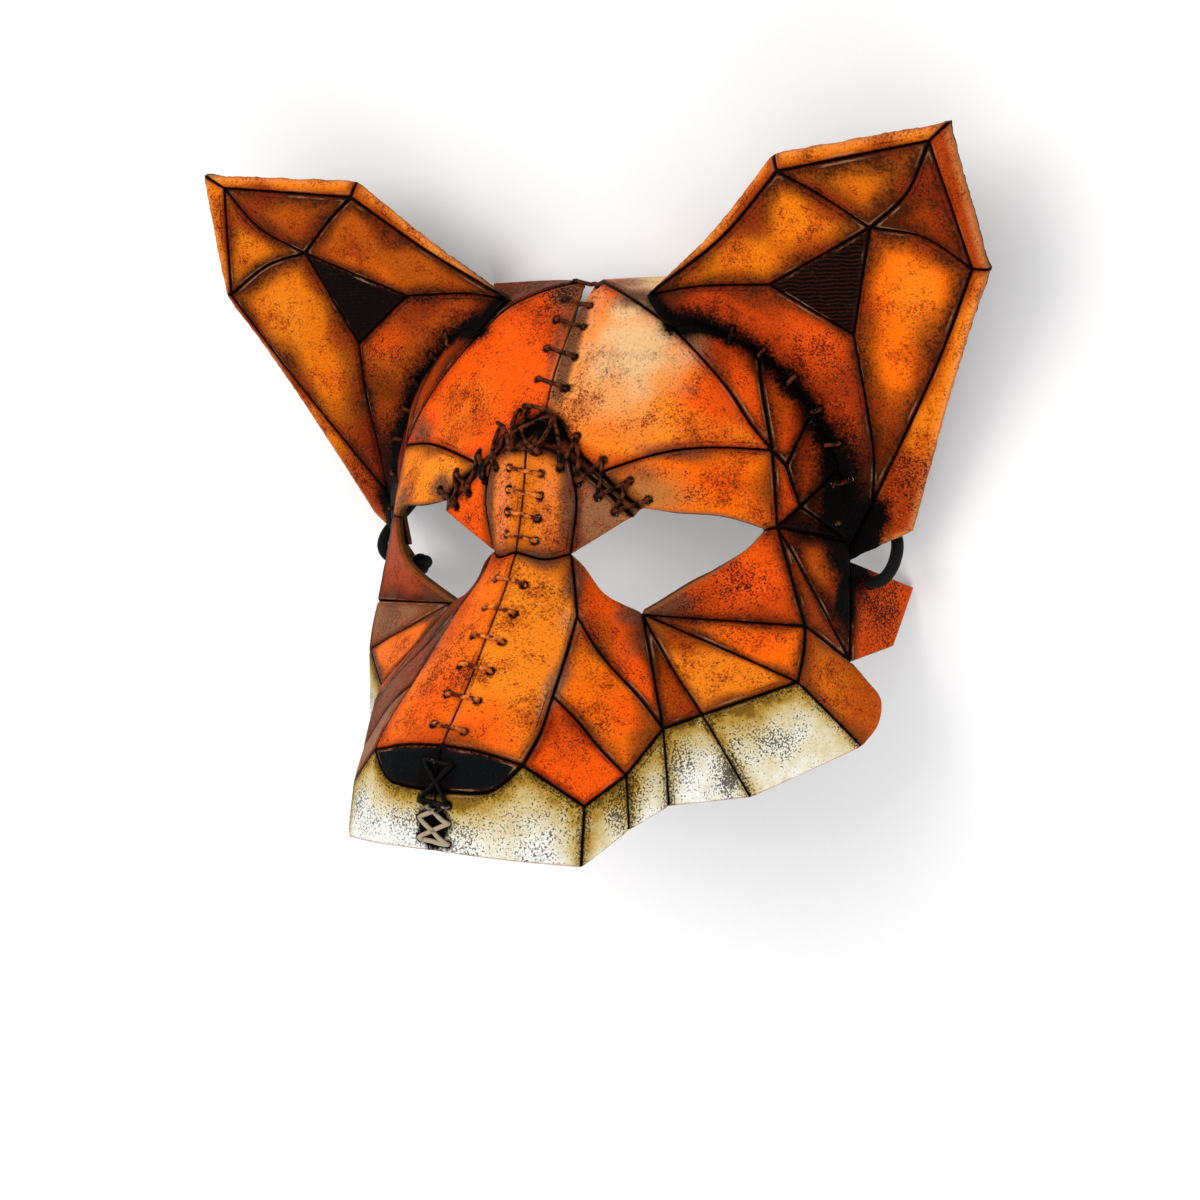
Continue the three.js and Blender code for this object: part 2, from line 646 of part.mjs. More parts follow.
function leatherMaterial(color) {
  return new THREE.MeshStandardMaterial({ color, roughness: 0.55, metalness: 0 });
}

const worn = new THREE.Group();

function addPiece(name, solid, material) {
  const mesh = new THREE.Mesh(geometryOf(solid), material);
  mesh.name = name;
  worn.add(mesh);
}

const sides = [['right', 1], ['left', -1]].map(([word, side]) => {
  const face = carveSheet({ corners: FACE, bends: FACE_BENDS, panels: FACE_PANELS }, side);
  return { word, side, face };
});
const rightDrawing = earDrawing(sides[0].face);
sides.forEach((half) => {
  half.ear = carveSheet(rightDrawing, half.side);
});

const faces = sides.map((half) => half.face);
const laces = {
  forehead_lace: lace(holesNear(FOREHEAD_STITCHES, faces), faces),
  snout_lace: lace(holesNear(SNOUT_STITCHES, faces), faces),
  muzzle_lace: lace(holesNear(MUZZLE_STITCHES, faces), faces),
};
sides.forEach(({ word, side, face, ear }) => {
  laces[`brow_lace_${word}`] = lace(holesNear(dartStitches(side), [face]), [face]);
  laces[`ear_lace_${word}`] = lace(earHoles(face, ear), [face, ear]);
});

const cord = cordSolids();
const punches = [...Object.values(laces).flatMap(({ holes }) => holes.map(punch)), ...cord.holes];
const pierced = (leather) => punches.reduce((left, tool) => left.subtract(tool), leather);

sides.forEach(({ word, face, ear }) => {
  addPiece(`face_${word}`, pierced(face.solid), leatherMaterial('#c8501e'));
  addPiece(`ear_${word}`, pierced(ear.solid), leatherMaterial('#c25a1c'));
});
const thongMaterial = new THREE.MeshStandardMaterial({ color: '#3a1d12', roughness: 0.6, metalness: 0 });
Object.entries(laces).forEach(([name, { thong }]) => addPiece(name, thong, thongMaterial));

const cordMaterial = new THREE.MeshStandardMaterial({ color: '#17161a', roughness: 0.8, metalness: 0 });
addPiece('tie_cord', cord.tube, cordMaterial);
addPiece('cord_knot_right', cord.knots[0], cordMaterial);
addPiece('cord_knot_left', cord.knots[1], cordMaterial);

worn.applyMatrix4(LAID);

const mask = new THREE.Group();
mask.add(worn);

export default mask;
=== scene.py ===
"""A fox half mask of carved and dyed leather, laced together, lying face up on a pale table.

The leather is drawn in the worn frame, in millimetres: x across the face to the viewer's right,
y into the head, z up to the crown. It is then laid down into the frame of the CAD model, in metres.
"""
import math

import bpy
import numpy as np
from mathutils import Matrix, Vector, kdtree, noise
from mathutils.geometry import delaunay_2d_cdt


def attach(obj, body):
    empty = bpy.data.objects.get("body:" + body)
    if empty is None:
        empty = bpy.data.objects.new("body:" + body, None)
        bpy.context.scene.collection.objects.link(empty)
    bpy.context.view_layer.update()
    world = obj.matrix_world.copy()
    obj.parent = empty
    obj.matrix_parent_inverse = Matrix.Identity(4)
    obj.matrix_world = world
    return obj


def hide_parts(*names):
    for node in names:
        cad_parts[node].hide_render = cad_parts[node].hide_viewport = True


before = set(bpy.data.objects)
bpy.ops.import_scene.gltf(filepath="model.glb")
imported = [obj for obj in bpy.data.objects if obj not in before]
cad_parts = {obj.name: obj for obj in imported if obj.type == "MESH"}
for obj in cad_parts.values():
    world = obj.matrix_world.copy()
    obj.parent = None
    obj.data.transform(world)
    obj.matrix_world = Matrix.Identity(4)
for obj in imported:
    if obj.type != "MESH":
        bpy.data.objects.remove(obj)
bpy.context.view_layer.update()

MM = 0.001

# How the mask lies: tipped back from upright by the lean, and moved until it rests on the table
LEAN = math.radians(18.9)
LAID_BACK = -21.86
LAID_UP = 89.73
LYING = np.array([
    [1, 0, 0],
    [0, -math.sin(LEAN), math.cos(LEAN)],
    [0, -math.cos(LEAN), -math.sin(LEAN)],
])

# Leather
SKIN = 2.2             # thickness below a carved line
LINE_DEPTH = 1.0       # depth of a carved line
LINE_HALF = 1.1        # half its width
THICKNESS = SKIN + LINE_DEPTH
SEAM = 0.06            # the seam's edge on each half is this far from the middle plane
PUFF = 0.035           # rise of a moulded panel, as a share of its width
EAR_TUCK = 1.3         # the base of an ear reaches this far in under the side edge of the face
EAR_SUNK = 2.9         # and lies this deep under its carved lines
EAR_START = 9          # the base of an ear starts this far from the shoulder of the face
EAR_BASE_POINTS = 14   # points that the base follows
STEP = 0.8    # spacing of the modelled surface
ROUNDS = 400           # passes that settle a panel's surface
FAR = 99.0             # a gap to a line or edge that isn't there
SMOOTH_TO = math.radians(50)    # a sharper turn of the leather stays an edge

# Thongs and cord
THONG_RADIUS = 0.8
EAR_THONG_RADIUS = 0.75
HOLE_RADIUS = 1.15
HOLE_SIDES = 14
HOLE_MIDDLE = 1.5      # the middle of a hole is about this deep in the leather
HOLE_TOP = 0.25        # a thong leaves a hole this far above the leather
DRILL_LENGTH = 9
OVER_LEATHER = 0.15    # gap between a thong and the leather under it
UNDER_LEATHER = 0.2    # gap between a thong and the leather over it
THONG_STEP = 0.8       # spacing of the points along a thong
THONG_ROUNDNESS = 3
CORD_RADIUS = 2.25
CORD_STEP = 1.5
CORD_ROUNDNESS = 6
CORD_HOLE_RADIUS = 2.8
KNOT_RADIUS = 4.6
KNOT_POINTS = 90
KNOT_ROUNDNESS = 4
KNOT_GAP = 0.3         # the end of the cord stops this far from its knot

# The viewer's right is drawn, and the viewer's left is its mirror image
SIDES = (("right", 1), ("left", -1))

# Where the carved lines of a face half meet
FACE = {
    "crownTop": (3, 40.5, 101.5), "shoulder": (39.5, 31, 83), "crownCorner": (54, 58, 105),
    "dartTop": (SEAM, 14.5, 51.5), "browStart": (25, 12, 31.2), "browEnd": (41.7, 15.8, 18.7),
    "bridgeTop": (SEAM, 3, 36.8), "bridgeCorner": (15.8, 6, 33.4), "bridgeFoot": (SEAM, 0, 0),
    "flapTip": (39, 11.7, 14.8), "temple": (77.5, 39, 40.5), "templeBack": (81, 43, 35.5),
    "templeFoot": (85, 47.8, 21.7), "templeStar": (81, 39, 14),
    "eyeInner": (15.7, 10.6, 0.7), "eyeFoot": (39.4, 21.5, -18.9), "eyeOuter": (78.3, 36.3, 12.8),
    "earHigh": (66.5, 45, 78.2), "earMiddle": (86.1, 54, 58.1), "earLow": (94.7, 57.5, 35.6),
    "earDeep": (97.8, 61, 11), "earFoot": (97, 66.6, 3.7),
    "ridgeHigh": (24.1, 3, -21.1), "ridgeLow": (28.3, -17, -48.2),
    "noseTop": (SEAM, -39, -66.3), "noseFoot": (SEAM, -41, -81.6), "noseCorner": (29.7, -35.7, -70.4),
    "lip": (SEAM, -40.8, -101), "lipSide": (47.1, -24.2, -102.6), "mouthSide": (46.4, -23.1, -82.9),
    "cheekA": (53.5, -9, -72.7), "cheekB": (59.5, 4, -57), "cheekC": (67, 17.5, -52),
    "cheekD": (91, 41.8, -39.3), "cheekTip": (91, 45.4, -19.9),
    "jawA": (54.5, -7, -90.8), "jawB": (63, 4.5, -82.6), "jawC": (80, 32, -79.5),
    "jawD": (105, 68, -61),
    "tabFold": (100, 64.7, -31.6), "tabLow": (107.8, 84.7, -25.3), "tabTip": (110, 95.4, -3.9),
}

# Points that a line passes on its way between two of those
FACE_BENDS = {
    "crownTop dartTop": [(1, 30, 86), (SEAM, 19, 65)],
    "crownTop shoulder": [(12, 34, 98.5), (26.5, 28.5, 91.5)],
    "crownTop crownCorner": [(22, 49, 103.5)],
    "shoulder temple": [(51, 32, 72.5), (62, 33.5, 61), (70.5, 35, 49.5)],
    "dartTop browStart": [(14.5, 11, 38.7)],
    "browStart browEnd": [(34.6, 13.5, 24.9)],
    "browStart temple": [(40.5, 18.5, 36), (51, 22.5, 38.8), (62, 30, 40.3)],
    "bridgeTop bridgeCorner": [(7.2, 3, 37.2)],
    "bridgeCorner flapTip": [(25.5, 9, 26.1)],
    "bridgeTop bridgeFoot": [(SEAM, 2.6, 18.8)],
    "bridgeCorner eyeInner": [(18.7, 7.5, 19.6)],
    "bridgeFoot eyeInner": [(9.2, 4, -1.9)],
    "bridgeFoot noseTop": [(SEAM, -5.7, -13.2), (SEAM, -16, -30.7), (SEAM, -25, -46)],
    "eyeInner ridgeHigh": [(18.4, 9, -8.3)],
    "ridgeHigh ridgeLow": [(26.3, -6, -33.5)],
    "ridgeLow noseCorner": [(30.2, -27, -60.5)],
    "eyeInner eyeFoot": [(20, 12, -3.2), (26.5, 16.5, -13)],
    "eyeFoot eyeOuter": [(58, 20.5, -8), (67, 25, -1.4), (74.4, 32, 6.5)],
    "browEnd eyeOuter": [(54.5, 17, 17), (66.6, 23.5, 16.8), (74.5, 31, 14.8)],
    "shoulder earHigh": [(49.7, 33, 83.8)],
    "earHigh earMiddle": [(78.4, 48.5, 66.9)],
    "earMiddle earLow": [(90.3, 57, 49.6)],
    "earLow earDeep": [(97.4, 59, 25.2)],
    "temple earHigh": [(71.4, 40, 63.5)],
    "noseTop noseCorner": [(14, -38.5, -67.2)],
    "noseFoot noseCorner": [(19.9, -39.5, -79.8), (24.6, -38, -76.4)],
    "lip lipSide": [(26, -36, -101.8)],
    "ridgeHigh cheekB": [(34.6, 2, -33.5), (50.7, 3, -47.8)],
    "ridgeLow cheekA": [(37, -16, -55.2), (45.5, -13, -64.7)],
    "eyeFoot cheekC": [(46, 20, -27.5), (55.5, 18.5, -39.1)],
    "cheekTip cheekD": [(91.6, 44, -28.7)],
    "jawD tabFold": [(109, 71.8, -53), (110, 70.8, -44.4), (107, 64.3, -37.4)],
    "tabLow tabTip": [(109.1, 91.1, -12.8)],
}

# The carved panels, each named by the corners round it, anticlockwise from outside
FACE_PANELS = {
    "forehead": "crownTop dartTop browStart temple shoulder",
    "dart": "dartTop bridgeTop bridgeCorner flapTip browEnd browStart",
    "crown": "crownTop shoulder crownCorner",
    "brow": "browStart browEnd eyeOuter templeStar temple",
    "side": "shoulder temple earHigh",
    "ear_side_high": "temple templeBack earMiddle earHigh",
    "ear_side_low": "templeBack templeFoot earLow earMiddle",
    "temple_dark": "temple templeStar templeFoot templeBack",
    "temple_low": "templeStar earDeep templeFoot",
    "temple_back": "templeFoot earDeep earLow",
    "cheek_strip": "templeStar tabFold earFoot earDeep",
    "cheek_back": "cheekTip tabFold templeStar",
    "tab": "tabFold tabLow tabTip earFoot",
    "bridge": "bridgeTop bridgeFoot eyeInner bridgeCorner",
    "flap": "bridgeCorner eyeInner flapTip",
    "snout": "bridgeFoot noseTop noseCorner ridgeLow ridgeHigh eyeInner",
    "nose": "noseTop noseFoot noseCorner",
    "muzzle": "noseFoot lip lipSide mouthSide noseCorner",
    "cheek_inner": "eyeInner ridgeHigh cheekB eyeFoot",
    "cheek_low": "ridgeHigh ridgeLow cheekA cheekB",
    "cheek_nose": "ridgeLow noseCorner mouthSide cheekA",
    "cheek_star_a": "eyeFoot cheekB cheekC",
    "cheek_star_b": "eyeFoot cheekC cheekD",
    "cheek_star_c": "eyeFoot cheekD cheekTip",
    "cheek_eye": "eyeFoot cheekTip templeStar eyeOuter",
    "fur_a": "mouthSide lipSide jawA cheekA",
    "fur_b": "cheekA jawA jawB cheekB",
    "fur_c": "cheekB jawB jawC cheekC",
    "fur_d": "cheekC jawC jawD cheekD",
    "flap_cheek": "cheekD jawD tabFold cheekTip",
}

# An ear. Its base follows the side edge of the face.
EAR = {
    "innerTop": (86.3, 9.5, 136.6), "tip": (151.3, -1.7, 140.3), "outer": (158.1, 23.4, 98.3),
    "heel": (117, 75, 16.3), "rimInner": (88.1, 8.8, 130.8), "rimTip": (143.9, 1.8, 135.9),
    "rimOuter": (152.5, 24, 98.9), "rimHeel": (104.2, 68.1, 24.5), "heart": (117.6, 20.6, 113.2),
    "darkInner": (76.3, 32.2, 97.4), "darkFoot": (105, 41.7, 80.8), "start": (29.2, 30.2, 94.2),
}

EAR_BENDS = {
    "innerTop start": [(58.5, 22.5, 114.5)],
    "rimInner start": [(62, 22.5, 112.5)],
    "rimInner heart": [(101, 13.5, 124)],
    "rimTip heart": [(133.5, 11.5, 122)],
    "rimOuter heart": [(136.3, 21.8, 109.5)],
    "start base": [(36, 28, 86.5), (41.5, 30.4, 83)],
    "darkInner start": [(47, 32.5, 97.5)],
    "outer heel": [(140.5, 45, 65.5)],
    "rimOuter rimHeel": [(136.5, 41, 72.5)],
    "darkFoot rimHeel": [(106.6, 51.5, 59.4), (106.6, 62, 39.7)],
}

EAR_PANELS = {
    "margin_top": "innerTop rimInner rimTip tip",
    "margin_tip": "tip rimTip rimOuter outer",
    "margin_outer": "outer rimOuter rimHeel foot heel",
    "margin_inner": "innerTop start rimInner",
    "upper": "rimInner heart rimTip",
    "tip_panel": "rimTip heart rimOuter",
    "inner_panel": "rimInner start darkInner heart",
    "dark": "heart darkInner darkFoot",
    "outer_panel": "rimOuter heart darkFoot rimHeel",
    "base_panel": "darkInner start base foot rimHeel darkFoot",
}

# Places, ways and nodes


def lay_down(points):
    """From the worn frame in millimetres to the lying frame in metres."""
    return (np.asarray(points, float) @ LYING.T + [0, LAID_BACK, LAID_UP]) * MM


def stand_up(points):
    """From the lying frame, in millimetres, back to the worn frame."""
    return (np.asarray(points, float) - [0, LAID_BACK, LAID_UP]) @ LYING


def on_side(places, side):
    """Places or ways as they are on the viewer's right, or mirrored where the side is -1."""
    return np.asarray(places, float) * [side, 1, 1]


def unit(way):
    """The same way, of length one."""
    return way / np.linalg.norm(way)


def unit_rows(ways):
    """The same ways, one to a row, each of length one."""
    return ways / np.maximum(np.linalg.norm(ways, axis=1, keepdims=True), 1e-9)


def smoothstep(low, high, x):
    t = np.clip((x - low) / (high - low), 0, 1)
    return t * t * (3 - 2 * t)


def search_tree(points):
    """A tree that finds the points nearest to a place, by their numbers."""
    tree = kdtree.KDTree(len(points))
    for number, place in enumerate(points):
        tree.insert(place, number)
    tree.balance()
    return tree


def add_object(name, data):
    made = bpy.data.objects.new(name, data)
    bpy.context.scene.collection.objects.link(made)
    return made


def linear(hex_colour, alpha=1.0):
    """An sRGB hex colour as linear values."""
    parts = [int(hex_colour[i:i + 2], 16) / 255 for i in (1, 3, 5)]
    return [c / 12.92 if c <= 0.04045 else ((c + 0.055) / 1.055) ** 2.4 for c in parts] + [alpha]


def put(tree, kind, inputs=None, **settings):
    """Adds a node with its settings, and its inputs as values or links."""
    made = tree.nodes.new(kind)
    for name, value in settings.items():
        setattr(made, name, value)
    for name, value in (inputs or {}).items():
        if isinstance(value, bpy.types.NodeSocket):
            tree.links.new(value, made.inputs[name])
        else:
            made.inputs[name].default_value = value
    return made


def blank_material(name):
    material = bpy.data.materials.new(name)
    material.use_nodes = True
    tree = material.node_tree
    tree.nodes.clear()
    return material, tree


def finish_material(tree, shader):
    put(tree, "ShaderNodeOutputMaterial", {"Surface": shader.outputs[0]})


# Stage

# The camera stands three quarters from the viewer's right, level with the muzzle of the worn mask
CAMERA_PLACE = (381.7, -601.2, -14.8)
CAMERA_YAW = math.radians(30)
CAMERA_ROLL = math.radians(3.28)
CAMERA_LENS = 60.99
CAMERA_REACH = (0.01, 20)

# Soft light from beyond the crown and a cooler one from in front: place, power and colour
LIGHTS = {
    "key": ((-0.55, 0.75, 1.25), 11, (1, 0.97, 0.93)),
    "fill": ((0.6, -1.0, 0.45), 8, (0.95, 0.97, 1)),
}
LIGHT_SIZE = 1.2
LIGHT_AIM = (0, 0, 0.05)
SKY_STRENGTH = 0.82
TABLE_SIZE = 8


def add_camera():
    data = bpy.data.cameras.new("camera")
    data.lens = CAMERA_LENS
    data.clip_start, data.clip_end = CAMERA_REACH
    camera = add_object("camera", data)
    level = Matrix.Rotation(math.radians(90), 3, "X")
    turn = Matrix(LYING) @ Matrix.Rotation(CAMERA_YAW, 3, "Z") @ level
    turn = turn @ Matrix.Rotation(CAMERA_ROLL, 3, "Z")
    camera.matrix_world = Matrix.Translation(lay_down(CAMERA_PLACE)) @ turn.to_4x4()
    bpy.context.scene.camera = camera


def add_light(name, place, power, colour):
    data = bpy.data.lights.new(name, "AREA")
    data.shape = "DISK"
    data.size = LIGHT_SIZE
    data.energy = power
    data.color = colour
    light = add_object(name, data)
    light.location = place
    light.rotation_mode = "QUATERNION"
    light.rotation_quaternion = (Vector(LIGHT_AIM) - Vector(place)).to_track_quat("-Z", "Y")


def add_stage():
    bpy.ops.mesh.primitive_plane_add(size=TABLE_SIZE, location=(0, 0, 0))
    table = bpy.context.object
    table.name = "table"
    material, tree = blank_material("pale painted board")
    finish_material(tree, put(tree, "ShaderNodeBsdfPrincipled", {
        "Base Color": linear("#FBFAF8"), "Roughness": 0.8,
    }))
    table.data.materials.append(material)
    world = bpy.data.worlds.new("studio")
    world.use_nodes = True
    sky = world.node_tree.nodes["Background"]
    sky.inputs["Color"].default_value = linear("#F6F7FA")
    sky.inputs["Strength"].default_value = SKY_STRENGTH
    bpy.context.scene.world = world
    for name, settings in LIGHTS.items():
        add_light(name, *settings)
    bpy.context.scene.view_settings.view_transform = "Standard"


add_camera()
add_stage()

# Lines and surfaces


def smooth_line(stops, step=STEP):
    """Points about a step apart on the smooth line through some stops."""
    stops = np.array(stops, float)
    padded = np.vstack([2 * stops[0] - stops[1], stops, 2 * stops[-1] - stops[-2]])
    pieces = []
    for p0, p1, p2, p3 in zip(padded, padded[1:], padded[2:], padded[3:]):
        d0, d1, d2 = (math.sqrt(np.linalg.norm(b - a)) for a, b in ((p0, p1), (p1, p2), (p2, p3)))
        lead = ((p1 - p0) / d0 - (p2 - p0) / (d0 + d1) + (p2 - p1) / d1) * d1
        trail = ((p2 - p1) / d1 - (p3 - p1) / (d1 + d2) + (p3 - p2) / d2) * d1
        # a length halfway between two counts takes the higher one in every run
        count = max(1, round(np.linalg.norm(p2 - p1) / step + 1e-6))
        t = np.linspace(0, 1, count, endpoint=False)[:, None]
        pieces.append(
            (2 * t**3 - 3 * t**2 + 1) * p1 + (t**3 - 2 * t**2 + t) * lead
            + (3 * t**2 - 2 * t**3) * p2 + (t**3 - t**2) * trail
        )
    return np.vstack([*pieces, stops[-1:]])


def draw_lines(corners, bends, panels):
    """The sides of all the panels, as rows of numbers in one list of points."""
    points = []
    number = {}
    rows = {}
    users = {}
    for stops in (panel.split() for panel in panels.values()):
        for a, b in zip(stops, stops[1:] + stops[:1]):
            for name in (a, b):
                if name not in number:
                    number[name] = len(points)
                    points.append(np.array(corners[name], float))
            users[frozenset((a, b))] = users.get(frozenset((a, b)), 0) + 1
            if (a, b) in rows:
                continue
            between = bends.get(f"{a} {b}") or list(reversed(bends.get(f"{b} {a}", [])))
            line = smooth_line([corners[a], *between, corners[b]])
            first = len(points)
            points.extend(line[1:-1])
            rows[a, b] = [number[a], *range(first, len(points)), number[b]]
            rows[b, a] = rows[a, b][::-1]
    return points, rows, users


def segment_gaps(places, starts, ends):
    """Distance of every place from every segment, in a plane."""
    way = ends - starts
    lengths = np.maximum((way**2).sum(1), 1e-12)
    from_start = places[:, None, :] - starts[None]
    share = np.clip((from_start * way[None]).sum(2) / lengths[None], 0, 1)
    return np.sqrt(((from_start - share[..., None] * way[None]) ** 2).sum(2))


def inside_outline(places, outline):
    a, b = outline, np.roll(outline, -1, axis=0)
    y = places[:, 1:2]
    spans = (a[None, :, 1] > y) != (b[None, :, 1] > y)
    rise = np.where(np.abs(b[:, 1] - a[:, 1]) < 1e-12, 1e-12, b[:, 1] - a[:, 1])
    x = (b[:, 0] - a[:, 0])[None] * (y - a[None, :, 1]) / rise[None] + a[None, :, 0]
    return (spans & (places[:, 0:1] < x)).sum(1) % 2 == 1


def fill_points(outline, starts, ends):
    """Points in rows inside an outline, a good half of a step or more from it."""
    low, high = outline.min(0), outline.max(0)
    row_step = STEP * math.sqrt(3) / 2
    x, y = np.meshgrid(np.arange(low[0], high[0], STEP), np.arange(low[1], high[1], row_step))
    x[1::2] += STEP / 2
    grid = np.column_stack([x.ravel(), y.ravel()])
    grid = grid[inside_outline(grid, outline)]
    return grid[segment_gaps(grid, starts, ends).min(1) > 0.55 * STEP]


def edge_weights(places, triangles):
    """For each side of each triangle, how strongly it ties its two ends."""
    sides = []
    for i, j, k in ((0, 1, 2), (1, 2, 0), (2, 0, 1)):
        a, b, c = (places[triangles[:, n]] for n in (i, j, k))
        u, v = a - c, b - c
        cross = np.abs(u[:, 0] * v[:, 1] - u[:, 1] * v[:, 0])
        weight = np.clip(0.5 * (u * v).sum(1) / np.maximum(cross, 1e-9), 0.02, 4)
        sides.append((triangles[:, i], triangles[:, j], weight))
    a, b, w = (np.concatenate(part) for part in zip(*sides))
    return np.concatenate([a, b]), np.concatenate([b, a]), np.concatenate([w, w])


def settle(ties, values, load):
    """Spreads the values at the first places over the rest, like a film that a load lifts."""
    a, b, w = ties
    fixed = len(values)
    total = len(load)
    pull = np.bincount(a, w, total)
    held = np.zeros(total)
    held[:fixed] = values

    def film(x):
        return pull * x - np.bincount(a, w * x[b], total)

    x = np.zeros(total)
    x[fixed:] = values.mean()
    rest = load - film(held + np.where(np.arange(total) >= fixed, x, 0))
    rest[:fixed] = 0
    way = rest / np.maximum(pull, 1e-9)
    size = (rest * way).sum()
    for _ in range(ROUNDS):
        moved = film(way)
        moved[:fixed] = 0
        step = size / max((way * moved).sum(), 1e-12)
        x += step * way
        rest -= step * moved
        ready = rest / np.maximum(pull, 1e-9)
        after = (rest * ready).sum()
        if after < 1e-9:
            break
        way = ready + (after / size) * way
        size = after
    x[:fixed] = values
    return x


def fill_panel(ring, carved, puff):
    """A panel's places inside its ring, its triangles, and the gaps to its lines and edges."""
    turn = np.cross(ring, np.roll(ring, -1, axis=0)).sum(0)
    out = unit(turn)
    # any way across the panel will do, as long as no panel faces it
    across = unit(np.cross(out, (0.3, 0.2, 0.9)))
    up = np.cross(out, across)
    centre = ring.mean(0)
    outline = np.column_stack([(ring - centre) @ across, (ring - centre) @ up])
    starts, ends = outline, np.roll(outline, -1, axis=0)
    places = np.vstack([outline, fill_points(outline, starts, ends)])
    polygon = [list(range(len(ring)))]
    _, _, filled, came_from, _, _ = delaunay_2d_cdt(
        [Vector(p) for p in places], [], polygon, 1, 1e-7
    )
    first = [group[0] for group in came_from]
    triangles = np.array([[first[i] for i in face] for face in filled])
    a, b, c = (places[triangles[:, n]] for n in range(3))
    turned = (b[:, 0] - a[:, 0]) * (c[:, 1] - a[:, 1]) - (b[:, 1] - a[:, 1]) * (c[:, 0] - a[:, 0])
    triangles[turned < 0] = triangles[turned < 0][:, ::-1]
    ties = edge_weights(places, triangles)
    heights = settle(ties, (ring - centre) @ out, np.zeros(len(places)))
    lift = np.where(np.arange(len(places)) < len(ring), 0, 1.0)
    dome = np.maximum(settle(ties, np.zeros(len(ring)), lift), 0)
    width = math.sqrt(np.linalg.norm(turn) / 2)
    heights += puff * width * (dome / max(dome.max(), 1e-9)) ** 0.8
    solid = centre + places[:, :1] * across + places[:, 1:] * up + heights[:, None] * out
    gaps = segment_gaps(places, starts, ends)
    far = np.full(len(places), FAR)
    to_line = gaps[:, carved].min(1) if carved.any() else far
    to_edge = gaps[:, ~carved].min(1) if (~carved).any() else far
    return solid[len(ring):], triangles, to_line, to_edge


def vertex_normals(points, triangles):
    a, b, c = (points[triangles[:, n]] for n in range(3))
    faces = np.cross(b - a, c - a)
    sums = np.zeros_like(points)
    for n in range(3):
        np.add.at(sums, triangles[:, n], faces)
    return unit_rows(sums)


def carve_sheet(corners, bends, panels, flat=(), sunk=()):
    """The outer surface of a sheet of leather, panel by panel, with some flat and some left sunk."""
    points, rows, users = draw_lines(corners, bends, panels)
    triangles, panel_of, to_line, to_edge = [], {}, {}, {}
    for index, (name, panel) in enumerate(panels.items()):
        stops = panel.split()
        ring, carved = [], []
        for a, b in zip(stops, stops[1:] + stops[:1]):
            side = rows[a, b][:-1]
            ring += side
            carved += [users[frozenset((a, b))] > 1] * len(side)
        puff = 0 if name in flat or name in sunk else PUFF
        inner, faces, lines, edges = fill_panel(
            np.array([points[i] for i in ring]), np.array(carved), puff
        )
        numbers = ring + list(range(len(points), len(points) + len(inner)))
        points.extend(inner)
        triangles.append(np.array(numbers)[faces])
        for n, i in enumerate(numbers):
            panel_of.setdefault(i, index)
            to_line[i] = min(lines[n], to_line.get(i, FAR))
            to_edge[i] = min(edges[n], to_edge.get(i, FAR))
    points = np.array(points)
    triangles = np.vstack(triangles)
    line, edge, panel = (
        np.array([found[i] for i in range(len(points))]) for found in (to_line, to_edge, panel_of)
    )
    # the leather stands at its full height away from the lines, and thins a little at its edge
    rise = smoothstep(0, LINE_HALF, line) * smoothstep(-0.9, 0.7, edge)
    rise[np.isin(np.array(list(panels))[panel], sunk)] = 0
    return {
        "points": points, "triangles": triangles, "rows": rows, "names": list(panels),
        "panel": panel, "line": line, "edge": edge, "rise": LINE_DEPTH * rise,
        "normals": vertex_normals(points, triangles),
    }


def free_sides(triangles):
    """The directed sides that only one triangle has."""
    sides = np.vstack([triangles[:, [0, 1]], triangles[:, [1, 2]], triangles[:, [2, 0]]])
    keys = np.sort(sides, axis=1)
    _, index, counts = np.unique(keys, axis=0, return_index=True, return_counts=True)
    return sides[index[counts == 1]]


def leather_shell(sheet, is_face):
    """Outer face with its carved lines, inner face and cut edge, as one closed surface."""
    points, normals, triangles = sheet["points"], sheet["normals"].copy(), sheet["triangles"]
    at_seam = is_face & (np.abs(points[:, 0] - SEAM) < 0.01)
    normals[at_seam, 0] = 0
    normals = unit_rows(normals)
    outer = points + normals * sheet["rise"][:, None]
    inner = points - normals * SKIN
    if is_face:
        outer[:, 0] = np.maximum(outer[:, 0], SEAM)
        inner[:, 0] = np.maximum(inner[:, 0], SEAM)
    count = len(points)
    a, b = free_sides(triangles).T
    cut_edge = np.column_stack([b, a, a + count, b + count])
    faces = [*triangles.tolist(), *(triangles[:, ::-1] + count).tolist(), *cut_edge.tolist()]
    return np.vstack([outer, inner]), faces


def add_mesh(name, points, faces, side):
    """A mesh in the lying frame, mirrored for the left."""
    if side < 0:
        faces = [face[::-1] for face in faces]
    mesh = bpy.data.meshes.new(name)
    mesh.from_pydata(lay_down(on_side(points, side)).tolist(), [], faces)
    mesh.update()
    return add_object(name, mesh)


def take(piece):
    """Makes one piece the only one selected, and active."""
    bpy.ops.object.select_all(action="DESELECT")
    piece.select_set(True)
    bpy.context.view_layer.objects.active = piece


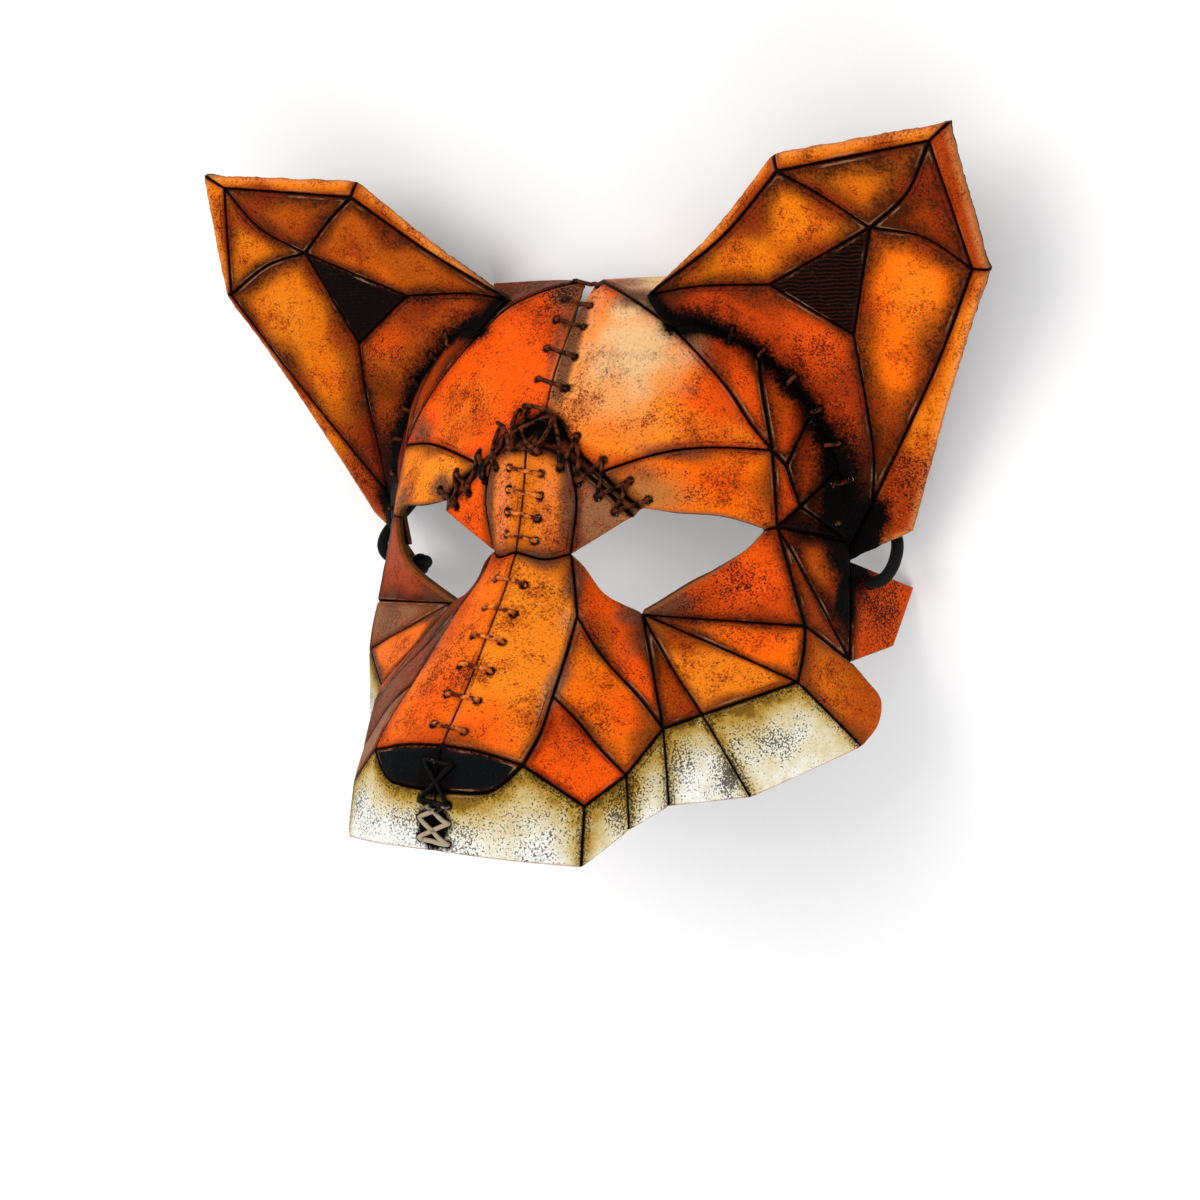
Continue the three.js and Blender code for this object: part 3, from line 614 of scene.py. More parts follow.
def add_tubes(name, routes, radius, roundness, closed=False):
    """One piece made of round thongs or cords that follow some routes, in metres."""
    drawn = bpy.data.curves.new(name, "CURVE")
    drawn.dimensions = "3D"
    drawn.bevel_depth = radius
    drawn.bevel_resolution = roundness
    drawn.use_fill_caps = not closed
    for route in routes:
        spline = drawn.splines.new("POLY")
        spline.use_cyclic_u = closed
        spline.points.add(len(route) - 1)
        spline.points.foreach_set("co", np.column_stack([route, np.ones(len(route))]).ravel())
    take(add_object(name, drawn))
    bpy.ops.object.convert(target="MESH")
    bpy.ops.object.mode_set(mode="EDIT")
    bpy.ops.mesh.select_all(action="SELECT")
    bpy.ops.mesh.remove_doubles(threshold=1e-6)
    bpy.ops.mesh.normals_make_consistent(inside=False)
    bpy.ops.object.mode_set(mode="OBJECT")
    bpy.ops.object.shade_smooth()
    return bpy.context.object


def stand_for(piece, node):
    """The piece rides on the one body, in place of its plain solid."""
    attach(piece, "root")
    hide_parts(node)


# Materials

# What is painted on a sheet, point by point
PAINT_WORDS = (
    "fade", "rub", "ash", "soot", "stipple", "pelt", "white", "grain", "ink", "rim", "ribs",
)

DYES = {
    "cream": "#EFC48C", "apricot": "#F6A862", "salmon": "#EE8656", "tangerine": "#FC9322",
    "pumpkin": "#FF8A1C", "amber": "#EC7A0C", "orange": "#FF7208", "flame": "#FF5A08",
    "brick": "#CE460A", "rust": "#A43A06", "oxblood": "#861E05", "chestnut": "#76380E",
    "umber": "#3C1806", "soot": "#040201", "clay": "#8E6040", "fawn": "#C4906E",
    "khaki": "#8C6A48", "peat": "#0C0503", "jet": "#060A0B", "bark": "#5A3018",
    "copper": "#B85408", "tan": "#B4743A",
}

# Each panel's dye in the middle, the dye along its lines, and how far that fades in, in mm
RIGHT_DYES = {
    "forehead": ("pumpkin", "brick", 6), "dart": ("bark", "soot", 3), "crown": ("fawn", "umber", 5),
    "brow": ("orange", "chestnut", 6), "side": ("brick", "umber", 6),
    "ear_side_high": ("brick", "soot", 6), "ear_side_low": ("rust", "soot", 9),
    "temple_dark": ("brick", "soot", 3), "temple_low": ("umber", "soot", 3),
    "temple_back": ("umber", "soot", 3), "cheek_strip": ("rust", "soot", 9),
    "cheek_back": ("rust", "umber", 6), "tab": ("brick", "umber", 7),
    "bridge": ("amber", "bark", 5), "flap": ("clay", "umber", 5),
    "snout": ("pumpkin", "chestnut", 5), "nose": ("jet", "jet", 1),
    "muzzle": ("khaki", "umber", 3), "cheek_inner": ("flame", "umber", 7),
    "cheek_low": ("orange", "chestnut", 7), "cheek_nose": ("flame", "oxblood", 6),
    "cheek_star_a": ("rust", "umber", 6), "cheek_star_b": ("pumpkin", "chestnut", 5),
    "cheek_star_c": ("orange", "umber", 6), "cheek_eye": ("brick", "umber", 6),
    "fur_a": ("khaki", "umber", 7), "fur_b": ("khaki", "umber", 5), "fur_c": ("khaki", "umber", 4),
    "fur_d": ("khaki", "umber", 4), "flap_cheek": ("copper", "chestnut", 8),
}
LEFT_DYES = {
    **RIGHT_DYES,
    "forehead": ("flame", "brick", 6), "crown": ("chestnut", "umber", 6),
    "brow": ("pumpkin", "chestnut", 6), "side": ("rust", "umber", 6), "flap": ("flame", "rust", 4),
    "snout": ("orange", "brick", 7), "cheek_inner": ("chestnut", "soot", 7),
    "cheek_low": ("chestnut", "umber", 7), "cheek_nose": ("clay", "chestnut", 5),
    "cheek_star_a": ("rust", "umber", 5), "cheek_star_b": ("orange", "umber", 6),
    "cheek_star_c": ("clay", "chestnut", 5), "cheek_eye": ("rust", "umber", 8),
}
RIGHT_EAR_DYES = {
    "margin_top": ("amber", "rust", 3), "margin_tip": ("rust", "rust", 4),
    "margin_outer": ("amber", "rust", 4), "margin_inner": ("amber", "rust", 3),
    "upper": ("amber", "umber", 15), "tip_panel": ("rust", "umber", 18),
    "inner_panel": ("amber", "umber", 15), "dark": ("peat", "soot", 12),
    "outer_panel": ("orange", "umber", 15), "base_panel": ("brick", "umber", 10),
}
LEFT_EAR_DYES = {
    **RIGHT_EAR_DYES,
    "margin_tip": ("amber", "rust", 3), "upper": ("copper", "umber", 11),
    "tip_panel": ("amber", "umber", 8), "inner_panel": ("copper", "umber", 10),
    "outer_panel": ("amber", "umber", 14), "base_panel": ("copper", "soot", 12),
}

# A wave pattern of scale 1 repeats at this distance
WAVE_LENGTH = 0.314
BRAID_SCALE = 260      # strands about 1.2 mm wide

# The patches, blots, specks and pricks in dye: size in mm, detail and roughness of each noise
NOISES = (
    ("cloud", 15, 4, 0.5), ("mottle", 4, 6, 0.72), ("speck", 1.1, 4, 0.75), ("prick", 0.7, 2, 0.5),
)

# Further values, each the first one times the second plus the third
SUMS = (
    # the airbrush never lies evenly, and it spatters
    ("drift", "mottle", 1, -0.5), ("broad", "cloud", 1, -0.5), ("fleck", "speck", 1, -0.5),
    ("dust", "prick", 1, -0.5), ("uneven", "drift", 1.2, "broad"),
    ("spatter", "fleck", 1.9, "uneven"), ("grit", "dust", 3.6, "uneven"),
    # the fur is dry-brushed with white
    ("brushed", "uneven", 0.7, "white"),
    # each carved line has a pale painted highlight along its lip, and a second fine line beside it
    ("past_lip", "ink", 1, -1.0), ("past_second", "ink", 1, -1.8),
    # how far the finer marks show
    ("blushed", "grain", 0.5, 0), ("lit", "fade", "blushed", 0), ("rib_highlight_share", "ribs", 0.22, 0),
)

# The coats of paint in turn: what drives each, the chance in it and how much of that counts,
# where it starts and is full, how much it covers, and its colour
COATS = (
    ("dye", "fade", "spatter", 0.6, 0.0, 0.95, 1.0, "dye"),
    ("blush", "cloud", "spatter", 0.35, 0.48, 0.72, "blushed", "#B4300A"),
    # pale cream, and painted highlights on the right of the snout
    ("rub", "rub", "spatter", 0.3, 0.05, 1.0, 1.0, DYES["cream"]),
    ("ash", "ash", "spatter", 0.45, 0.1, 1.1, 0.95, "#62402F"),
    ("pores", "speck", "uneven", 0.35, 0.48, 0.74, "grain", "#6E2A0C"),
    ("pricks", "prick", "uneven", 0.3, 0.48, 0.68, "blushed", "#6E2006"),
    ("glints", "prick", "uneven", 0.1, 0.42, 0.26, "lit", "#F07A24"),
    ("pelt", "pelt", "uneven", 0.2, 0.35, 0.65, 1.0, "fur"),
    ("stipple", "stipple", "grit", 1.0, 0.5, 0.95, 0.85, "#1C0D05"),
    # pale painted highlights on the tooled ridges of the dark ear panel
    ("ribs", "combed", "uneven", 0.2, 0.55, 0.9, "rib_highlight_share", "#6A3016"),
    ("haze", "ink", "drift", 5.0, 2.2, 0.1, 0.4, "#2E1005"),
    # the lip: a pale painted highlight on the ridge beside each carved line
    ("lip", "off_lip", "drift", 1.4, 0.35, 0.1, "lip_highlight", "#D8A070"),
    ("second", "off_second", "drift", 1.2, 0.26, 0.08, "broken", "#190803"),
    ("worn", "rim", "drift", 1.5, 0.9, 0.2, 0.6, "#96582C"),
    ("soot", "soot", "spatter", 0.7, 0.15, 1.0, 1.0, DYES["soot"]),
    ("ink", "ink", "drift", 0.6, 0.5, 0.12, 1.0, "#060302"),
    ("flesh", "raw", "drift", 0.2, 0.35, 0.65, 1.0, "flesh"),
)

# The fur from its ochre ground to its white tips: how white, and the colour there
FUR_COLOURS = (
    (0.0, "#7A5A18"), (0.14, "#B08A36"), (0.36, "#CDB67A"), (0.66, "#E0D6B6"), (1.0, "#FAF8F0"),
)

# The muzzle thong turns from black to dusty between these places of the lying mask
DUST_FROM, DUST_TO = -87 * MM, -94 * MM


def leather_material(name):
    """Vegetable-tanned carving leather, dyed panel by panel and airbrushed dark along its lines.

    The dye lies unevenly over a pebbled grain about a millimetre across, dark wax stays in the
    pores and cuts, and the resist finish leaves a soft gloss that is duller on the flesh side.
    """
    material, tree = blank_material(name)
    place = put(tree, "ShaderNodeTexCoord").outputs["Object"]
    value = {
        word: put(tree, "ShaderNodeAttribute", attribute_name=word).outputs["Fac"]
        for word in (*PAINT_WORDS, "raw")
    }
    paint = {
        word: put(tree, "ShaderNodeAttribute", attribute_name=word).outputs["Color"]
        for word in ("dye", "shade")
    }
    for word, size, detail, roughness in NOISES:
        value[word] = put(tree, "ShaderNodeTexNoise", {
            "Vector": place, "Scale": 1 / (size * MM), "Detail": detail, "Roughness": roughness,
        }).outputs[0]
    # tooled ridges 1.4 mm apart, whose crests get a painted highlight, and a grain of pebbles 1.2 mm
    # across
    value["combed"] = put(tree, "ShaderNodeTexWave", {
        "Vector": place, "Scale": WAVE_LENGTH / (1.4 * MM), "Distortion": 4, "Detail": 3,
    }, bands_direction="Y").outputs["Fac"]
    value["pebble"] = put(tree, "ShaderNodeTexVoronoi", {
        "Vector": place, "Scale": 1 / (1.2 * MM),
    }).outputs["Distance"]
    for word, *terms in SUMS:
        value[word] = put(tree, "ShaderNodeMath", {
            number: value.get(term, term) for number, term in enumerate(terms)
        }, operation="MULTIPLY_ADD").outputs[0]
    for word in ("lip", "second"):
        value[f"off_{word}"] = put(tree, "ShaderNodeMath", {
            0: value[f"past_{word}"],
        }, operation="ABSOLUTE").outputs[0]
    # the painted highlight on the lip and the second line come and go
    for word, start, full, most in (("broken", 0.48, 0.62, 0.6), ("lip_highlight", 0.5, 0.36, 0.3)):
        value[word] = put(tree, "ShaderNodeMapRange", {
            "Value": value["cloud"], "From Min": start, "From Max": full, "To Max": most,
        }, interpolation_type="SMOOTHSTEP").outputs[0]

    fur = put(tree, "ShaderNodeValToRGB", {"Fac": value["brushed"]})
    stops = fur.color_ramp.elements
    stops.remove(stops[1])
    for position, hex_colour in FUR_COLOURS:
        stop = stops.new(position) if position else stops[0]
        stop.color = linear(hex_colour)
    paint["fur"] = fur.outputs[0]
    paint["flesh"] = put(tree, "ShaderNodeMix", {
        0: value["mottle"], 6: linear("#24130A"), 7: linear("#6A4328"),
    }, data_type="RGBA").outputs[2]

    colour = paint["shade"]
    cover = {}
    for coat, driver, chance, wander, start, full, most, coating in COATS:
        moved = put(tree, "ShaderNodeMath", {
            0: value[chance], 1: wander, 2: value[driver],
        }, operation="MULTIPLY_ADD").outputs[0]
        cover[coat] = put(tree, "ShaderNodeMapRange", {
            "Value": moved, "From Min": start, "From Max": full, "To Max": value.get(most, most),
        }, interpolation_type="SMOOTHSTEP").outputs[0]
        colour = put(tree, "ShaderNodeMix", {
            0: cover[coat], 6: colour, 7: paint[coating] if coating in paint else linear(coating),
        }, data_type="RGBA").outputs[2]

    height = value["mottle"]
    for part, depth in (
        (value["pebble"], 0.9), (value["speck"], 0.9), (cover["second"], -1.4), (cover["ink"], -1.2),
    ):
        height = put(tree, "ShaderNodeMath", {
            0: part, 1: depth, 2: height,
        }, operation="MULTIPLY_ADD").outputs[0]
    bump = put(tree, "ShaderNodeBump", {"Strength": 0.8, "Distance": 0.35 * MM, "Height": height})
    rough = put(tree, "ShaderNodeMapRange", {
        "Value": value["mottle"], "From Min": 0.3, "From Max": 0.7, "To Min": 0.38, "To Max": 0.62,
    }).outputs[0]
    rough = put(tree, "ShaderNodeMath", {0: rough, 1: value["raw"]}, operation="MAXIMUM").outputs[0]
    finish_material(tree, put(tree, "ShaderNodeBsdfPrincipled", {
        "Base Color": colour, "Roughness": rough, "Specular IOR Level": 0.03,
        "Normal": bump.outputs[0],
    }))
    return material


def thong_material(name, dark, light, dusted=0.0):
    """Waxed leather thong: drawn round and a little shiny, with patches of a paler colour that paint
    its highlights and its worn places.

    The thong of the muzzle is black at the nose and dusted with white towards the lip.
    """
    material, tree = blank_material(name)
    place = put(tree, "ShaderNodeTexCoord").outputs["Object"]
    wear_and_highlight = put(tree, "ShaderNodeTexNoise", {
        "Vector": place, "Scale": 1 / (2.4 * MM), "Detail": 5,
    }).outputs[0]
    down = put(tree, "ShaderNodeSeparateXYZ", {0: place}).outputs["Y"]
    dust = put(tree, "ShaderNodeMapRange", {
        "Value": down, "From Min": DUST_FROM, "From Max": DUST_TO,
        "To Min": -dusted, "To Max": dusted,
    }).outputs[0]
    worn = put(tree, "ShaderNodeMath", {0: wear_and_highlight, 1: dust}, operation="ADD").outputs[0]
    share = put(tree, "ShaderNodeMapRange", {"Value": worn, "From Min": 0.42, "From Max": 0.64})
    # the paler colour, in patches, is a painted highlight as well as worn leather
    colour = put(tree, "ShaderNodeMix", {
        0: share.outputs[0], 6: linear(dark), 7: linear(light),
    }, data_type="RGBA").outputs[2]
    bump = put(tree, "ShaderNodeBump", {"Strength": 0.6, "Distance": 0.3 * MM, "Height": wear_and_highlight})
    finish_material(tree, put(tree, "ShaderNodeBsdfPrincipled", {
        "Base Color": colour, "Roughness": 0.5, "Specular IOR Level": 0.06, "Normal": bump.outputs[0],
    }))
    return material


def cord_material():
    """Black braided polyester cord: matte, with diagonal strands about 1.2 mm wide."""
    material, tree = blank_material("black braided polyester")
    along = put(tree, "ShaderNodeUVMap", uv_map="along").outputs[0]
    strands = []
    for lean in (50, -50):
        turned = put(tree, "ShaderNodeMapping", {
            "Vector": along, "Rotation": (0, 0, math.radians(lean)),
        }).outputs[0]
        strands.append(put(tree, "ShaderNodeTexWave", {
            "Vector": turned, "Scale": BRAID_SCALE, "Distortion": 0.6, "Detail": 1,
        }).outputs["Fac"])
    crossed = put(tree, "ShaderNodeMath", {
        0: strands[0], 1: strands[1],
    }, operation="MAXIMUM").outputs[0]
    colour = put(tree, "ShaderNodeMix", {
        0: crossed, 6: linear("#040405"), 7: linear("#121214"),
    }, data_type="RGBA").outputs[2]
    bump = put(tree, "ShaderNodeBump", {"Strength": 0.6, "Distance": 0.4 * MM, "Height": crossed})
    finish_material(tree, put(tree, "ShaderNodeBsdfPrincipled", {
        "Base Color": colour, "Roughness": 0.8, "Specular IOR Level": 0.15, "Normal": bump.outputs[0],
    }))
    return material


LEATHER = leather_material("airbrushed carving leather")
# the second colour of each thong paints its highlights as well as its worn places
DARK_THONG = thong_material("waxed black-brown thong", "#070302", "#6A3014")
DYED_THONG = thong_material("orange dyed thong", "#4E1A07", "#EE7E30")
DUSTED_THONG = thong_material("thong dusted with white", "#060403", "#A8987E", dusted=0.24)
CORD = cord_material()

# Cord

CORD_ROUTE = [
    (99, -49.7, 19.1), (102, -49, 20.2), (105, -48.2, 21.3), (108.6, -46.4, 21.9), (111, -43, 20.4),
    (111.4, -39.4, 16.6), (110.2, -36.2, 12), (107.4, -32.4, 7.6), (103, -27, 4.2),
    (97.5, -19.5, 2.5), (89, -7, 2.3), (76, 11, 2.3), (58, 27, 2.3), (36, 38, 2.3), (14, 43, 2.3),
]
KNOT_TURN = 0.85       # the loops of a knot reach three times this far from its middle
KNOT_CORD_RADIUS = 0.9 * CORD_RADIUS


def measure_map(piece, length):
    """Stretches the map of a tube to real metres: round it, then along it."""
    layer = piece.data.uv_layers[0]
    layer.name = "along"
    spots = np.empty(len(piece.data.loops) * 2)
    layer.data.foreach_get("uv", spots)
    spots = spots.reshape(-1, 2) * [2 * math.pi * CORD_RADIUS * MM, length]
    layer.data.foreach_set("uv", spots.ravel())


def length_of(path):
    return float(np.linalg.norm(np.diff(path, axis=0), axis=1).sum())


def overhand_knot(name, centre):
    """The cord's own stop knot, drawn up tight."""
    turns = np.linspace(0, 2 * math.pi, KNOT_POINTS, endpoint=False)
    loops = KNOT_TURN * MM * np.column_stack([
        np.sin(turns) + 2 * np.sin(2 * turns), np.cos(turns) - 2 * np.cos(2 * turns),
        -np.sin(3 * turns),
    ])
    route = np.array(centre) + loops
    knot = add_tubes(name, [route], KNOT_CORD_RADIUS * MM, KNOT_ROUNDNESS, closed=True)
    measure_map(knot, length_of(loops))
    return knot


def add_cord():
    half = [np.array(p, float) for p in CORD_ROUTE]
    path = smooth_line([*half, *on_side(half[::-1], -1)], CORD_STEP) * MM
    cord = add_tubes("black_tie_cord", [path], CORD_RADIUS * MM, CORD_ROUNDNESS)
    measure_map(cord, length_of(path))
    cord.data.materials.append(CORD)
    stand_for(cord, "tie_cord")
    centre = half[0] + unit(half[0] - half[1]) * (KNOT_GAP + KNOT_RADIUS)
    for word, side in SIDES:
        knot = overhand_knot(f"stop_knot_{word}", on_side(centre, side) * MM)
        knot.data.materials.append(CORD)
        stand_for(knot, f"cord_knot_{word}")


add_cord()

# Leather

# The dart closes up more on the viewer's right than on the left
RIGHT_FACE = {**FACE, "browStart": (25, 11.8, 29.6), "browEnd": (40, 14.4, 17.8)}
RIGHT_BENDS = {
    **FACE_BENDS,
    "dartTop browStart": [(6, 12.4, 46.8), (15.5, 10.8, 36.9)],
    "browStart browEnd": [(33.4, 12.9, 22.6)],
}

# The outer margin is narrower on the ear at the viewer's left
LEFT_EAR = {**EAR, "rimOuter": (156.2, 23.6, 98.5), "rimHeel": (106, 69.5, 22.5)}
LEFT_EAR_BENDS = {**EAR_BENDS, "rimOuter rimHeel": [(138.6, 43.4, 68.5)]}

EAR_RIM = (
    ("innerTop", "tip"), ("tip", "outer"), ("outer", "heel"), ("innerTop", "start"), ("heel", "foot"),
)


def side_edge(face):
    """The numbers of the points along the side edge of the face, from the shoulder down."""
    stops = ["shoulder", "earHigh", "earMiddle", "earLow", "earDeep", "earFoot"]
    edge = []
    for a, b in zip(stops, stops[1:]):
        edge += face["rows"][a, b][:-1]
    return edge + [face["rows"]["earDeep", "earFoot"][-1]]


def ear_corners(face, corners, bends):
    """The corners and bends of an ear, with its base tucked under the side edge of the face."""
    edge = side_edge(face)
    places, normals = face["points"][edge], face["normals"][edge]
    along = unit_rows(np.gradient(places, axis=0))
    outward = unit_rows(np.cross(normals, along))
    base = places - EAR_TUCK * outward - EAR_SUNK * normals
    base = base[np.linalg.norm(base - places[0], axis=1) > EAR_START]
    picked = base[:: max(1, len(base) // EAR_BASE_POINTS)]
    corners = {**corners, "base": picked[0], "foot": base[-1]}
    return corners, {**bends, "base foot": list(picked[1:-1])}


def patches(points, size, seed):
    """Chance between about -1 and 1 that drifts over the leather in patches some mm across."""
    start = Vector((seed, 0, 0))
    return np.array([noise.noise(Vector(p) / size + start) for p in points])


def touched(sheet, place, reach, strength):
    """How much paint a soft round touch of the airbrush leaves, most in its middle."""
    away = np.linalg.norm((sheet["points"] - place) / reach, axis=1)
    return strength * (1 - smoothstep(0.1, 1.1, away + sheet["wobble"]))


def touches_of(sheet, touches):
    """The strongest of several touches, each with its place, its reach and its strength."""
    return np.maximum.reduce([touched(sheet, *touch) for touch in touches] or [0 * sheet["line"]])


def gap_to(points, line):
    """Distance from each point to the nearest of a line's, and how far along the line that is."""
    tree = search_tree(line)
    found = [tree.find(p) for p in points]
    return np.array([f[2] for f in found]), np.array([f[1] for f in found]) / (len(line) - 1)


# Where the airbrush went over the panels: the dye, the place, the reach and the strength
RIGHT_TOUCHES = [
    ("apricot", (22, 18, 60), (30, 22, 28), 0.9), ("salmon", (8, 34, 92), (12, 18, 18), 0.8),
    ("flame", (62, 30, 58), (24, 18, 20), 1.0), ("orange", (26, 13, 44), (26, 12, 10), 0.6),
    ("tan", (42, 16, 22), (22, 16, 12), 0.9), ("orange", (78, 44, 60), (6, 14, 16), 0.5),
    ("flame", (84, 48, 50), (8, 14, 16), 0.8), ("salmon", (9, 3, 16), (7, 10, 26), 0.35),
    ("flame", (10, -36, -62), (24, 24, 18), 0.9), ("tangerine", (12, -2, -14), (14, 14, 14), 0.5),
    ("amber", (32, 0, -32), (8, 16, 16), 0.7), ("flame", (50, -2, -52), (12, 14, 14), 0.8),
    ("rust", (52, 22, -14), (22, 16, 14), 0.9), ("flame", (76, 34, -2), (13, 14, 14), 0.9),
    ("amber", (97, 54, -44), (10, 16, 18), 0.5), ("flame", (80, 36, -26), (16, 16, 10), 0.7),
    ("rust", (56, 22, -28), (18, 14, 7), 0.8), ("rust", (104, 78, -16), (9, 16, 14), 0.6),
    ("amber", (80, 30, -48), (14, 14, 8), 0.7), ("amber", (92, 52, 2), (6, 12, 14), 0.25),
    ("brick", (64, 31, 54), (12, 14, 16), 0.5), ("brick", (38, -20, -62), (10, 12, 12), 0.6),
    ("copper", (56, 12, -48), (6, 10, 12), 0.6), ("rust", (108, 64, -46), (8, 14, 18), 0.6),
    ("salmon", (8, 38, 99), (8, 10, 6), 0.8), ("flame", (62, 28, 28), (15, 14, 8), 0.7),
]
LEFT_TOUCHES = [
    ("pumpkin", (40, 20, 50), (24, 18, 20), 0.5), ("brick", (12, 30, 88), (14, 22, 18), 0.5),
    ("brick", (30, 17, 46), (16, 12, 9), 0.6), ("chestnut", (7, 34, 95), (9, 14, 16), 0.7),
    ("tangerine", (46, 18, 28), (16, 14, 11), 0.8), ("brick", (20, 0, -30), (12, 22, 26), 0.8),
    ("salmon", (9, 3, 16), (7, 10, 26), 0.7), ("flame", (12, -30, -52), (16, 20, 20), 0.8),
]
EAR_TOUCHES = [
    ("orange", (96, 26, 104), (20, 14, 10), 0.7), ("tangerine", (132, 30, 90), (12, 16, 22), 0.4),
    ("orange", (122, 44, 66), (10, 18, 18), 0.5), ("chestnut", (114, 62, 34), (12, 20, 26), 0.9),
    ("rust", (120, 14, 120), (16, 12, 12), 0.4), ("flame", (92, 38, 84), (14, 14, 14), 0.7),
    ("rust", (104, 56, 44), (14, 20, 30), 0.6), ("brick", (84, 38, 84), (14, 10, 8), 0.4),
    ("rust", (118, 70, 26), (22, 22, 40), 1.2),
]
# pale cream on the forehead and crown; the last two touches, on the right of the snout, are painted
# highlights
CREAM_AND_HIGHLIGHT_TOUCHES = [
    ((30, 25, 77), (30, 34, 28), 0.85), ((24, 28, 88), (16, 20, 14), 0.8),
    ((24, 45, 101), (16, 22, 12), 0.8), ((23, 0, -22), (6, 12, 14), 0.3),
    ((28, -18, -46), (6, 12, 16), 0.5),
]
RIGHT_ASH_TOUCHES = [
    ((3.2, 25, 74), (6, 46, 34), 1.3), ((34, 32, 91), (12, 14, 11), 1.1),
    ((50, 20, 38), (24, 12, 6), 0.8), ((40, 15, 30), (14, 10, 8), 0.7),
    ((15.8, 6, 18), (6, 10, 28), 1.1), ((7, 3, -2), (16, 8, 6), 0.8),
    ((19, 6, -8), (5, 10, 16), 0.9), ((36, 19, -20), (13, 12, 10), 1.0),
    ((46, 21, -15), (22, 10, 11), 1.1), ((28, -14, -44), (6, 20, 22), 0.9),
    ((16, 38, 99), (12, 14, 7), 0.8), ((42, 16, -30), (8, 16, 22), 0.6),
    ((64, 24, -24), (22, 12, 5), 0.6), ((25, 33, 93), (15, 12, 7), 1.2),
]
LEFT_ASH_TOUCHES = [
    ((2.5, 25, 78), (4, 40, 28), 0.8), ((15.5, 6, 18), (5, 10, 28), 1.1),
    ((66, 25, 18), (20, 16, 8), 0.9), ((44, 17, 23), (10, 10, 10), 1.0),
    ((46, 23, -19), (22, 14, 12), 1.0), ((80, 40, -24), (12, 16, 22), 0.8),
    ((28, -4, -34), (10, 20, 24), 0.8), ((66, 31, 46), (20, 14, 9), 0.9),
    ((6, 36, 97), (10, 14, 14), 1.1),
]
FACE_SOOT_TOUCHES = [
    ((41, 32, 84), (8, 10, 5), 1.0), ((95, 59, 20), (12, 15, 29), 1.4),
    ((88, 48, 14), (10, 14, 12), 0.8), ((98, 63, -6), (7, 9, 26), 1.3),
    ((0, -40, -77), (8.5, 9, 13), 2.2), ((0, -40, -92), (8.5, 9, 12), 2.2),
    ((5, 10, 43), (14, 10, 10), 1.4),
]
RIGHT_STIPPLE_TOUCHES = [
    ((56, 22, 24), (14, 12, 8), 0.4), ((68, 36, 66), (14, 16, 20), 0.25),
    ((66, 28, -8), (22, 16, 16), 0.5), ((105, 80, -14), (10, 20, 20), 0.9),
    ((80, 30, -22), (18, 16, 8), 0.3), ((94, 52, -48), (10, 18, 22), 0.3),
    ((12, 34, 98), (14, 20, 10), 0.15), ((30, 4, -30), (10, 16, 22), 0.3),
    ((44, -14, -62), (14, 18, 16), 0.3), ((10, -34, -62), (20, 20, 14), 0.15),
    ((24, 45, 101), (20, 20, 8), 0.2), ((34, 20, 48), (30, 14, 12), 0.1),
    ((3.2, 24, 74), (5, 40, 30), 0.5),
]
LEFT_STIPPLE_TOUCHES = [
    ((10, 35, 96), (12, 18, 14), 0.8), ((26, 44, 98), (30, 24, 12), 0.9),
    ((30, 24, 56), (24, 16, 14), 0.2), ((14, -20, -40), (18, 26, 30), 0.25),
    ((20, 14, 46), (20, 12, 10), 0.35),
]
FUR_STIPPLE_TOUCHES = [
    ((34, -32, -92), (26, 16, 16), 0.5), ((54, -8, -82), (8, 16, 18), 0.75),
    ((86, 34, -60), (22, 20, 12), 0.6), ((76, 22, -66), (10, 16, 20), 0.7),
    ((64, 8, -68), (8, 14, 16), 0.6), ((8, -40, -94), (26, 10, 14), 0.6),
    ((75, 25, -73), (5, 9, 14), 1.1),
]
EAR_STIPPLE_TOUCHES = [
    ((92, 44, 74), (20, 18, 20), 0.45), ((140, 12, 118), (16, 14, 20), 0.25),
    ((98, 56, 46), (14, 20, 20), 0.5), ((120, 66, 34), (14, 16, 24), 0.6),
]
EAR_SOOT_TOUCHES = [((102, 62, 14), (14, 18, 30), 1.5)]
DART_SIDES = (
    "dartTop browStart", "browStart browEnd", "bridgeTop bridgeCorner", "bridgeCorner flapTip",
)

FUR_PANELS = ("muzzle", "fur_a", "fur_b", "fur_c", "fur_d")
FUR_TOP = (
    "noseFoot noseCorner", "noseCorner mouthSide", "mouthSide cheekA", "cheekA cheekB",
    "cheekB cheekC", "cheekC cheekD",
)


def fall_off(gap, width, sharpness=2):
    """One at a line, and next to nothing beyond twice its width."""
    return np.exp(-((gap / width) ** sharpness))


def along_rows(sheet, sides):
    """The points along some sides of the panels, each named by its two ends."""
    return np.vstack([sheet["points"][sheet["rows"][tuple(side.split())]] for side in sides])


def blend_dye(sheet, share, dye):
    sheet["dye"] += np.clip(share, 0, 1)[:, None] * (np.array(linear(DYES[dye])) - sheet["dye"])


def paint_sheet(sheet, dyes, touches):
    """Lays each panel's two dyes and the fade between them on a sheet, and the airbrush over them.

    Gives the name of each point's panel.
    """
    points = sheet["points"]
    plan = [dyes[name] for name in sheet["names"]]
    for word, slot in (("dye", 0), ("shade", 1)):
        palette = np.array([linear(DYES[entry[slot]]) for entry in plan])
        sheet[word] = palette[sheet["panel"]]
    sheet["wobble"] = 0.25 * patches(points, size=9, seed=3)
    panels = np.array(sheet["names"])[sheet["panel"]]
    bare = np.isin(panels, ("nose", "dark"))
    for dye, *touch in touches:
        blend_dye(sheet, np.where(bare, 0, touched(sheet, *touch)), dye)
    reach = np.array([entry[2] for entry in plan], float)[sheet["panel"]]
    reach = reach * np.exp(1.3 * patches(points, size=17, seed=5) - 0.1)
    sheet["fade"] = np.clip(sheet["line"] / reach, 0, 1)
    for word in ("rub", "ash", "pelt", "white", "ribs"):
        sheet[word] = np.zeros(len(points))
    sheet["grain"] = np.where(bare, 0, 0.8)
    sheet["ink"] = sheet["line"] - 0.15
    sheet["rim"] = sheet["edge"]
    return panels


